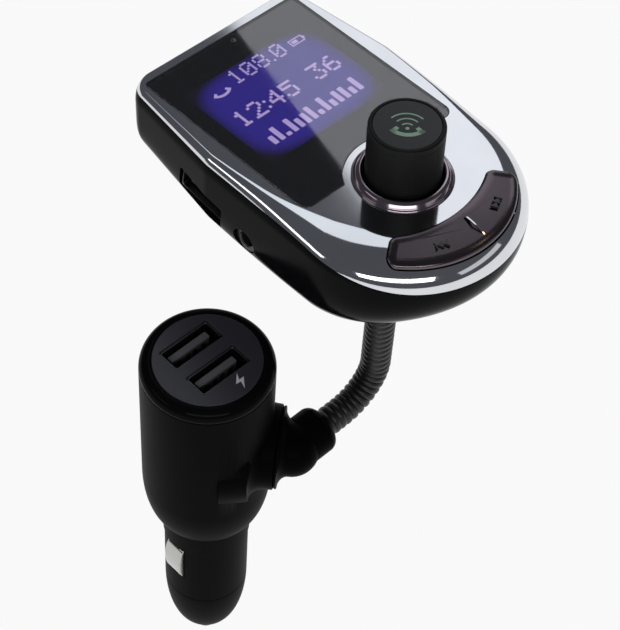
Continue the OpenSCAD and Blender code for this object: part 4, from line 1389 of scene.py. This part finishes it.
    def wall(self, y: float, x: float, turn: float = 90) -> Matrix:
        """Frame on the tilted row of openings in a side wall.

        Args:
            y: Distance along the head.
            x: Distance to the side.
            turn: Turn of its z, in degrees: 90 points right and -90 left.

        Returns:
            The frame.
        """
        along = (y - self.side_y) / math.cos(math.radians(self.wedge_deg))
        return (self.frame() @ moved(0, self.side_y, self.side_z) @ turned(self.wedge_deg, "X")
                @ moved(0, along, 0) @ moved(x, 0, 0) @ turned(turn, "Y"))

    def shell(self) -> None:
        """Hollow rear shell with rounded underside and its openings."""
        low, gap = -math.radians(self.under_deg), self.seam / 6

        def under(_: float) -> float:
            """The last angle, just short of the underside's middle."""
            return low

        def edge(y: float) -> float:
            """The angle where the shell meets the chrome."""
            return self.bend(y) - gap

        rings = self.sweep(Skin.OUTER, under, edge, np.linspace(0, 1, 26))
        rings += [self.ring(Skin.OUTER, edge, self.seam), self.ring(Skin.INNER, edge)]
        rings += self.sweep(Skin.INNER, under, self.bend, np.linspace(0.85, 0, 10))
        body = Form(self.frame()).loft(rings).build("head_shell", ROUND)
        side, neck = self.mid_half_w, Matrix.Translation(self.neck)
        pad = Form(neck).revolve([(0, 0), (7.6, 0), (7.8, 0.2), (7.8, 4.0), (0, 4.0)], 72).build("pad")
        body = combined(body, [pad], "UNION", 30)
        cutters = [punch(self.wall(self.side_y, -side), rounded_box(6.5, 14.3, 0.8, 5), -1.5, 9.0),
                   drill(self.wall(self.jack_y, -side), 3.15, -1.5, 9.0, 64),
                   punch(self.wall(self.side_y, side), rounded_box(2.4, 12.5, 0.4, 4), -5.0, 2.0),
                   drill(neck, 5.35, -1, 9, 48),
                   *(drill(self.frame() @ moved(x, y, self.floor(y)), 1.8, -1.5, 2.6, 32)
                     for x, y in self.screws)]
        dressed(combined(body, cutters, "DIFFERENCE", 30), "head", GLOSS, "rear_shell")

    def glass_outline(self, gap: float) -> list[Point2]:
        """Outline of the display glass, notched round the knob's ring."""
        r = 1.2 + gap
        x, low, high = self.glass_half_w + gap, self.glass_low - gap, self.glass_top + gap
        notch = self.ring_r + 1.6 - gap
        reach = math.degrees(math.asin(low / notch))
        points = arc((x - r, high - r), r, 0, 90, 8) + arc((-x + r, high - r), r, 90, 180, 8)
        r += 1.2
        points += arc((-x + r, low + r), r, 180, 270, 10)
        points += arc((0, 0), notch, 180 - reach, reach, 48)
        return points + arc((x - r, low + r), r, 270, 360, 10)

    def key_outline(self, gap: float) -> list[Point2]:
        """Outline of the crescent rocker key with round corners, grown by a gap."""
        return swollen(self.key_core(-self.key_round), self.key_round + gap)

    def key_core(self, gap: float) -> list[Point2]:
        """The crescent with sharp corners: two arcs between two sloped ends."""
        outer, inner = self.key_out_r + gap, self.key_in_r - gap
        rise = self.key_in_r - self.key_gap

        def meet(radius: float, middle: float) -> float:
            """Angle at which a circle round (0, middle) crosses the sloped right end."""
            slope = math.atan(0.5 * self.key_slope)
            return math.degrees(math.asin((gap - middle * math.cos(slope)) / radius) - slope)

        low, high = meet(outer, 0.0), meet(inner, rise)
        return arc((0, 0), outer, -180 - low, low, 96) + arc((0, rise), inner, high, -180 - high, 72)

    def plate(self) -> None:
        """Chrome faceplate with a rolled edge and openings for glass, dial, key and display."""
        def level(_: float) -> float:
            """The angle of the face."""
            return math.pi / 2

        rings = self.sweep(Skin.INNER, self.bend, level, np.linspace(0.9, 0, 8))
        rings[0] = [(x, y, z - self.thick) for x, y, z in rings[0]]
        rings.append(self.ring(Skin.OUTER, self.bend, self.seam))
        rings += self.sweep(Skin.OUTER, self.bend, level, np.linspace(0.01, 1, 26))
        place = self.frame()
        body = Form(place).loft(rings).build("face_plate", ROUND)
        cutters = [punch(place, self.glass_outline(0.1), -1.1, 1.0),
                   punch(place, self.key_outline(0.25), -8.0, 1.0),
                   drill(place, self.ring_r + 0.1, -1.3, 2, 128),
                   drill(place, 8.6, -4, 2, 96),
                   punch(self.screen(), rounded_box(self.screen_w, self.screen_l, 0.4, 3), -4.0, 1.0)]
        dressed(combined(body, cutters, "DIFFERENCE", 30), "head", CHROME, "faceplate")

    def dial(self) -> None:
        """Raised bead round the dial, the knob and its cap."""
        place, r, h = self.frame(), self.knob_r, self.knob_h
        bead = softened([(8.5, -1.2), (10.75, -1.2), (10.75, 0.2), (10.62, 0.4), (10.4, 0.55), (10.25, 0.8),
                         (9.85, 1.4), (9.35, 1.8), (8.9, 1.85), (8.6, 1.6), (8.5, 1.2)], 0.15)
        dressed(Form(place).revolve(bead, 144).build("dial_ring"), "head", RING, "knob_ring")
        knob = [(3.05, 0.6), (4.2, 0.6), (4.2, h - 1.8), (r - 1.2, h - 1.8), (r - 1.2, -0.6),
                (r - 0.15, -0.6), (r, -0.45), (r, h - 1.9), (r - 0.06, h - 1.82), (r - 0.06, h - 1.7),
                (r, h - 1.62), (r, h - 0.6), *arc((r - 0.5, h - 0.5), 0.5, 10, 90, 7),
                (r - 0.78, h), (r - 0.95, h - 0.12), (r - 0.98, h - 0.3), (0.0, h - 0.3),
                (0.0, h - 3.0), (3.05, h - 3.0)]
        dressed(Form(place).revolve(knob, 144).build("dial_knob"), "knob", KNOB, "knob")
        cap = [(0.0, h - 0.29), (r - 1.02, h - 0.29), (r - 1.02, h - 0.14), (r - 1.12, h - 0.1),
               (0.0, h - 0.1)]
        dressed(Form(place).revolve(cap, 128).build("dial_cap"), "knob", KNOB_TOP, "knob_cap")

    def rocker(self) -> None:
        """Crescent rocker key, level with the face, with a groove, a bright line and two seek marks."""
        place, edge, foot = self.frame(), 0.35, -2.4
        levels = [(foot, 0.0)]
        levels += [(0.15 + edge * math.sin(a), -edge * (1 - math.cos(a)))
                   for a in np.radians((0, 30, 60, 90))]
        levels += [(0.46, -0.8), (0.36, -1.3), (0.24, -1.9)]
        rings = [[(x, y, z + (-0.6 if z == foot else self.face_z(x, y))) for x, y in self.key_outline(gap)]
                 for z, gap in levels]
        body = Form(place).loft(rings).build("rocker_key", 34)
        groove = punch(place, shifted(rounded_box(0.55, 5.8, 0.25, 3), 0.7, -19.7), -0.75, 2)
        dressed(combined(body, [groove], "DIFFERENCE", 34), "rocker", KEY, "seek_rocker")
        line = []
        for y in np.linspace(-17.0, -22.4, 10):
            z = self.face_z(1.25, y) + 0.24
            line.append([(x, y, z + up) for x, up in ((1.1, -0.3), (1.1, 0.06), (1.4, 0.06), (1.4, -0.3))])
        dressed(Form(place).loft(line).build("rocker_line"), "rocker", CHROME)
        for name, x, y, way in (("seek_back", -7.6, -18.6, -1), ("seek_on", 9.2, -17.9, 1)):
            arrows = [[(way * a, b) for a, b in ((k, -0.9), (k + 1.25, 0.0), (k, 0.9))][::way]
                      for k in (-1.5, -0.2)]
            bar = shifted(rounded_box(0.25, 1.8, 0.05, 1), way * 1.3, 0)
            mark = place @ moved(x, y, self.face_z(x, y) - 0.2) @ turned(math.degrees(math.atan2(x, -y)), "Z")
            printed(name, mark, [*arrows, bar], KEY_MARK, "rocker", 0.52)

    def pane(self) -> None:
        """Glass over the display, its black print, and the microphone in its hole."""
        place, low = self.frame(), self.pane_low
        ear = place @ moved(*self.mic, 0)
        pane = Form(place).prism(self.glass_outline(0.0), low, 0.06, 0.15).build("pane")
        mask = Form(place).prism(self.glass_outline(-0.05), low - 0.09, low - 0.05).build("pane_print")
        combined(pane, [drill(ear, 0.68, -3, 1, 24)], "DIFFERENCE")
        window = rounded_box(self.screen_w - 0.4, self.screen_l - 0.4, 0.4, 3)
        cutters = [drill(ear, 0.68, -3, 1, 24), punch(self.screen(), window, -2.0, 0.0)]
        combined(mask, cutters, "DIFFERENCE")
        dressed(pane, "head", PANE, "glass")
        dressed(mask, "head", MASK)
        ring = [(0.3, -1.05), (0.6, -1.05), (0.6, 0.0), (0.5, 0.05), (0.36, 0.05), (0.3, -0.02)]
        dressed(Form(ear).revolve(ring, 32).build("mic_ring"), "head", TIP_METAL, "microphone")

    def display(self) -> None:
        """Display module with its lit face and the marks that it shows."""
        place, w, l = self.screen(), self.screen_w, self.screen_l
        body = Form(place).prism(rounded_box(w + 3.6, l + 3.6, 0.6), -5.3, -2.35)
        body.prism(rounded_box(w - 0.2, l - 0.2, 0.3, 3), -2.36, -1.22)
        dressed(body.build("display_body"), "head", PART, "display_module")
        lit = Form(place).prism(rounded_box(w - 0.3, l - 0.3, 0.3, 3), -1.21, -1.19).build("display_face")
        back, layer = place.inverted(), lit.data.uv_layers.new(name="UVMap")
        for loop in lit.data.loops:
            spot = back @ (lit.data.vertices[loop.vertex_index].co / MM)
            layer.data[loop.index].uv = (spot.x / w + 0.5, spot.y / l + 0.5)
        dressed(lit, "head", BACKLIGHT)
        face = place @ moved(0, 0, -1.18)
        rows = ((0.6, dots("108.0", -6.3, 9.1, 0.62)), (0.74, dots("12:45 36", -14.0, -1.6, 0.68)))
        for i, (size, spots) in enumerate(rows):
            dot = Form(unplaced(face)).prism(rounded_box(size * 0.92, size * 0.92, 0.1, 1), 0.0, 0.02)
            repeated(f"display_row_{i}", dot.build("dot"), [face @ spot for spot in spots], "head", LIT_MARK)
        bars = []
        for k in range(14):
            tall = 0.9 + 3.6 * abs(math.sin(1.3 * k + 0.5))
            bars.append(shifted(rounded_box(1.2, tall, 0.15, 1), 1.92 * k - 12.2, tall / 2 - 10.0))
        battery = [shifted(box(*part), 12.6, 10.6) for part in (
            (-1.9, -1.0, 1.9, -0.7), (-1.9, 0.7, 1.9, 1.0), (-1.9, -0.7, -1.6, 0.7),
            (1.6, -0.7, 1.9, 0.7), (1.9, -0.4, 2.3, 0.4), (-1.3, -0.45, 0.2, 0.45))]
        marks = [*bars, *battery, *handset((-10.6, 11.3), 3.4)]
        printed("display_marks", face, marks, LIT_MARK, "head")

    def icon(self) -> None:
        """Handset with waves over it, printed on the knob's cap."""
        place = self.frame() @ moved(0, 0, self.knob_h - 0.1) @ turned(-45, "Z")
        dot = (0.0, -1.05)
        waves = [band(dot, r + 0.17, r - 0.17, 42, 138) for r in (1.4, 2.85, 4.3)]
        shapes = [*waves, arc(dot, 0.42, 0, 345, 23), *handset((0.0, 1.61), 5.0)]
        printed("cap_icon", place, shapes, ICON, "knob")

    def side_ports(self) -> None:
        """The drive port and the audio jack in the left wall."""
        place = self.wall(self.side_y, self.port_in - self.side_x, -90) @ turned(90, "Z")
        Port(place, self.port_depth).build("drive_%s", "side_port_%s", "head")
        r, depth, bore, mouth = self.jack_r, -13.2, 1.8, 2.05
        jack = [(0.0, depth), (r, depth), (r, -0.15), (r - 0.15, 0.0), (mouth, 0.0), (bore, -0.2),
                (bore, -12.0), (0.0, -12.0)]
        place = self.wall(self.jack_y, 0.6 - self.side_x, -90)
        dressed(Form(place).revolve(jack, 64).build("jack"), "head", JACK_BODY, "audio_jack")

    def underside(self) -> None:
        """Case screws in their wells and the cone that holds the neck."""
        turn = unplaced(self.frame())
        screw = [(0.0, 1.5), (1.2, 1.5), (1.6, 1.7), (1.7, 1.95), (1.7, 2.5), (0.95, 2.5), (0.95, 9.0),
                 (0.0, 9.0)]
        cross = [punch(turn, rounded_box(w, l, 0.1, 1), 1.0, 2.1) for w, l in ((0.42, 2.0), (2.0, 0.42))]
        one = combined(Form(turn).revolve(screw, 32).build("screw"), cross, "DIFFERENCE")
        spots = [self.frame() @ Vector((x, y, self.floor(y))) for x, y in self.screws]
        repeated("case_screw_set", one, spots, "head", TIP_METAL, "case_screws")
        cone = softened([(3.65, -5.4), (4.6, -5.4), (4.9, -5.1), (6.5, -0.75), (6.6, -0.4), (6.6, 0.0),
                         (5.3, 0.0), (5.3, 6.3), (2.2, 6.3), (2.2, 3.1), (3.65, 3.1)], 0.3)
        cone = Form(Matrix.Translation(self.neck)).revolve(cone, 72).build("neck_cone")
        dressed(cone, "head", HOUSING, "neck_socket")

    def build(self) -> None:
        """Makes every piece of the head."""
        for make in (self.shell, self.plate, self.pane, self.display, self.dial, self.icon,
                     self.rocker, self.side_ports, self.underside):
            make()
        coloured(BOARD, "face_board", "jack_board")
        coloured(SHELL_METAL, "neck_nut", "encoder_base", "encoder_rotor", "knob_shaft",
                 "rocker_fulcrum", "key_switches", "card_socket")


# Studio


@dataclass
class Studio:
    """Pale floor, soft lamps and the camera at the photograph's view."""

    place: Point3 = (-174.71, -193.63, 430.52)
    right: Point3 = (0.72584, -0.68645, 0.04413)
    up: Point3 = (0.53232, 0.60117, 0.59602)
    back: Point3 = (-0.43567, -0.40912, 0.80176)
    lens: float = 119.8
    floor_z: float = -55.6
    floor_half: float = 12.0
    floor_glow: float = 0.93
    world_level: float = 0.1

    def camera(self) -> None:
        """Places the camera."""
        data = bpy.data.cameras.new("camera")
        data.sensor_fit, data.sensor_width, data.lens = "HORIZONTAL", 36.0, self.lens
        data.clip_start, data.clip_end = 0.01, 20.0
        made = linked("camera", data)
        turn = Matrix((self.right, self.up, self.back)).transposed().to_4x4()
        made.matrix_world = Matrix.Translation(Vector(self.place) * MM) @ turn
        bpy.context.scene.camera = made

    def lamp(self, name: str, place: Point3, aim: Point3, size: Point2, watts: float,
             colour: Colour = (1.0, 1.0, 1.0), upright: Point3 = (0.0, 0.0, 1.0)) -> None:
        """Hangs one soft lamp.

        Args:
            name: Its name.
            place: Where it hangs, in metres.
            aim: The point it faces, in metres.
            size: Its width and height in metres.
            watts: Its power.
            colour: Its colour.
            upright: Direction that its height follows.
        """
        data = bpy.data.lights.new(name, "AREA")
        data.shape, data.size, data.size_y = "RECTANGLE", *size
        data.energy, data.color = watts, colour
        back = (Vector(place) - Vector(aim)).normalized()
        side = Vector(upright).cross(back).normalized()
        turn = Matrix((side, back.cross(side), back)).transposed().to_4x4()
        linked(name, data).matrix_world = Matrix.Translation(place) @ turn

    def ground(self) -> None:
        """Lays the pale floor and lights the world."""
        half = self.floor_half / MM
        floor = Form().sheet(box(-half, -half, half, half), self.floor_z).build("floor")
        shade = Shade("pale floor")
        shade.plain(Base_Color=(0.8, 0.8, 0.8), Roughness=0.9, Specular_IOR_Level=0.1)
        glow = shade.node("ShaderNodeEmission").outputs[0]
        share = shade.maths("MULTIPLY", self.seen(shade), self.floor_glow)
        mix = shade.node("ShaderNodeMixShader", {0: share, 1: shade.shader.outputs[0], 2: glow})
        shade.link(mix.outputs[0], shade.tree.nodes["Material Output"].inputs["Surface"])
        floor.data.materials.append(shade.material)
        world = bpy.context.scene.world or bpy.data.worlds.new("world")
        bpy.context.scene.world = world
        world.use_nodes = True
        sky = world.node_tree.nodes["Background"].inputs
        sky["Color"].default_value = (0.84, 0.88, 1.0, 1)
        sky["Strength"].default_value = self.world_level

    @staticmethod
    def seen(shade: Shade) -> bpy.types.NodeSocket:
        """One for rays from the camera, a mirror or glass, and nought for the rest."""
        path = shade.node("ShaderNodeLightPath").outputs
        total = path["Is Camera Ray"]
        for key in ("Is Glossy Ray", "Is Transmission Ray"):
            total = shade.maths("MAXIMUM", total, path[key])
        return total

    def build(self) -> None:
        """Sets up camera, floor and lamps."""
        self.camera()
        self.ground()
        bpy.context.scene.view_settings.view_transform = "Standard"
        self.lamp("window", (0.799, 0.475, 0.572), (0.426, 0.094, -0.274), (0.6, 0.9), 1.75,
                  (0.95, 0.97, 1.0), (0.036, 0.905, -0.424))
        self.lamp("fill", (-0.75, -0.85, 0.75), (0.02, 0, 0.05), (1.3, 0.3), 5.0)
        self.lamp("strip", (0.45, -0.85, 0.42), (0.04, 0.0, 0.1), (0.7, 0.2), 0.25)
        self.lamp("side", (-0.80, 0.41, 0.54), (0.0, 0.0, 0.1), (0.5, 0.15), 0.5)
        self.lamp("overhead", (0.30, 0.41, 0.95), (0.04, 0.0, 0.107), (0.5, 0.42), 0.62, (0.93, 0.97, 1.0))
        self.lamp("glint", (0.50, -0.16, 0.77), (0.045, -0.02, 0.107), (0.05, 0.05), 0.04, (1.0, 0.72, 0.45))


def main() -> None:
    """Builds the studio and every sub-assembly."""
    logging.basicConfig(level=logging.INFO, format="%(message)s")
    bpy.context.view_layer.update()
    Studio().build()
    plug = Plug()
    plug.build()
    Swivel().build(plug)
    Neck().build()
    Head().build()
    bpy.context.view_layer.update()


if __name__ == "__main__":
    main()
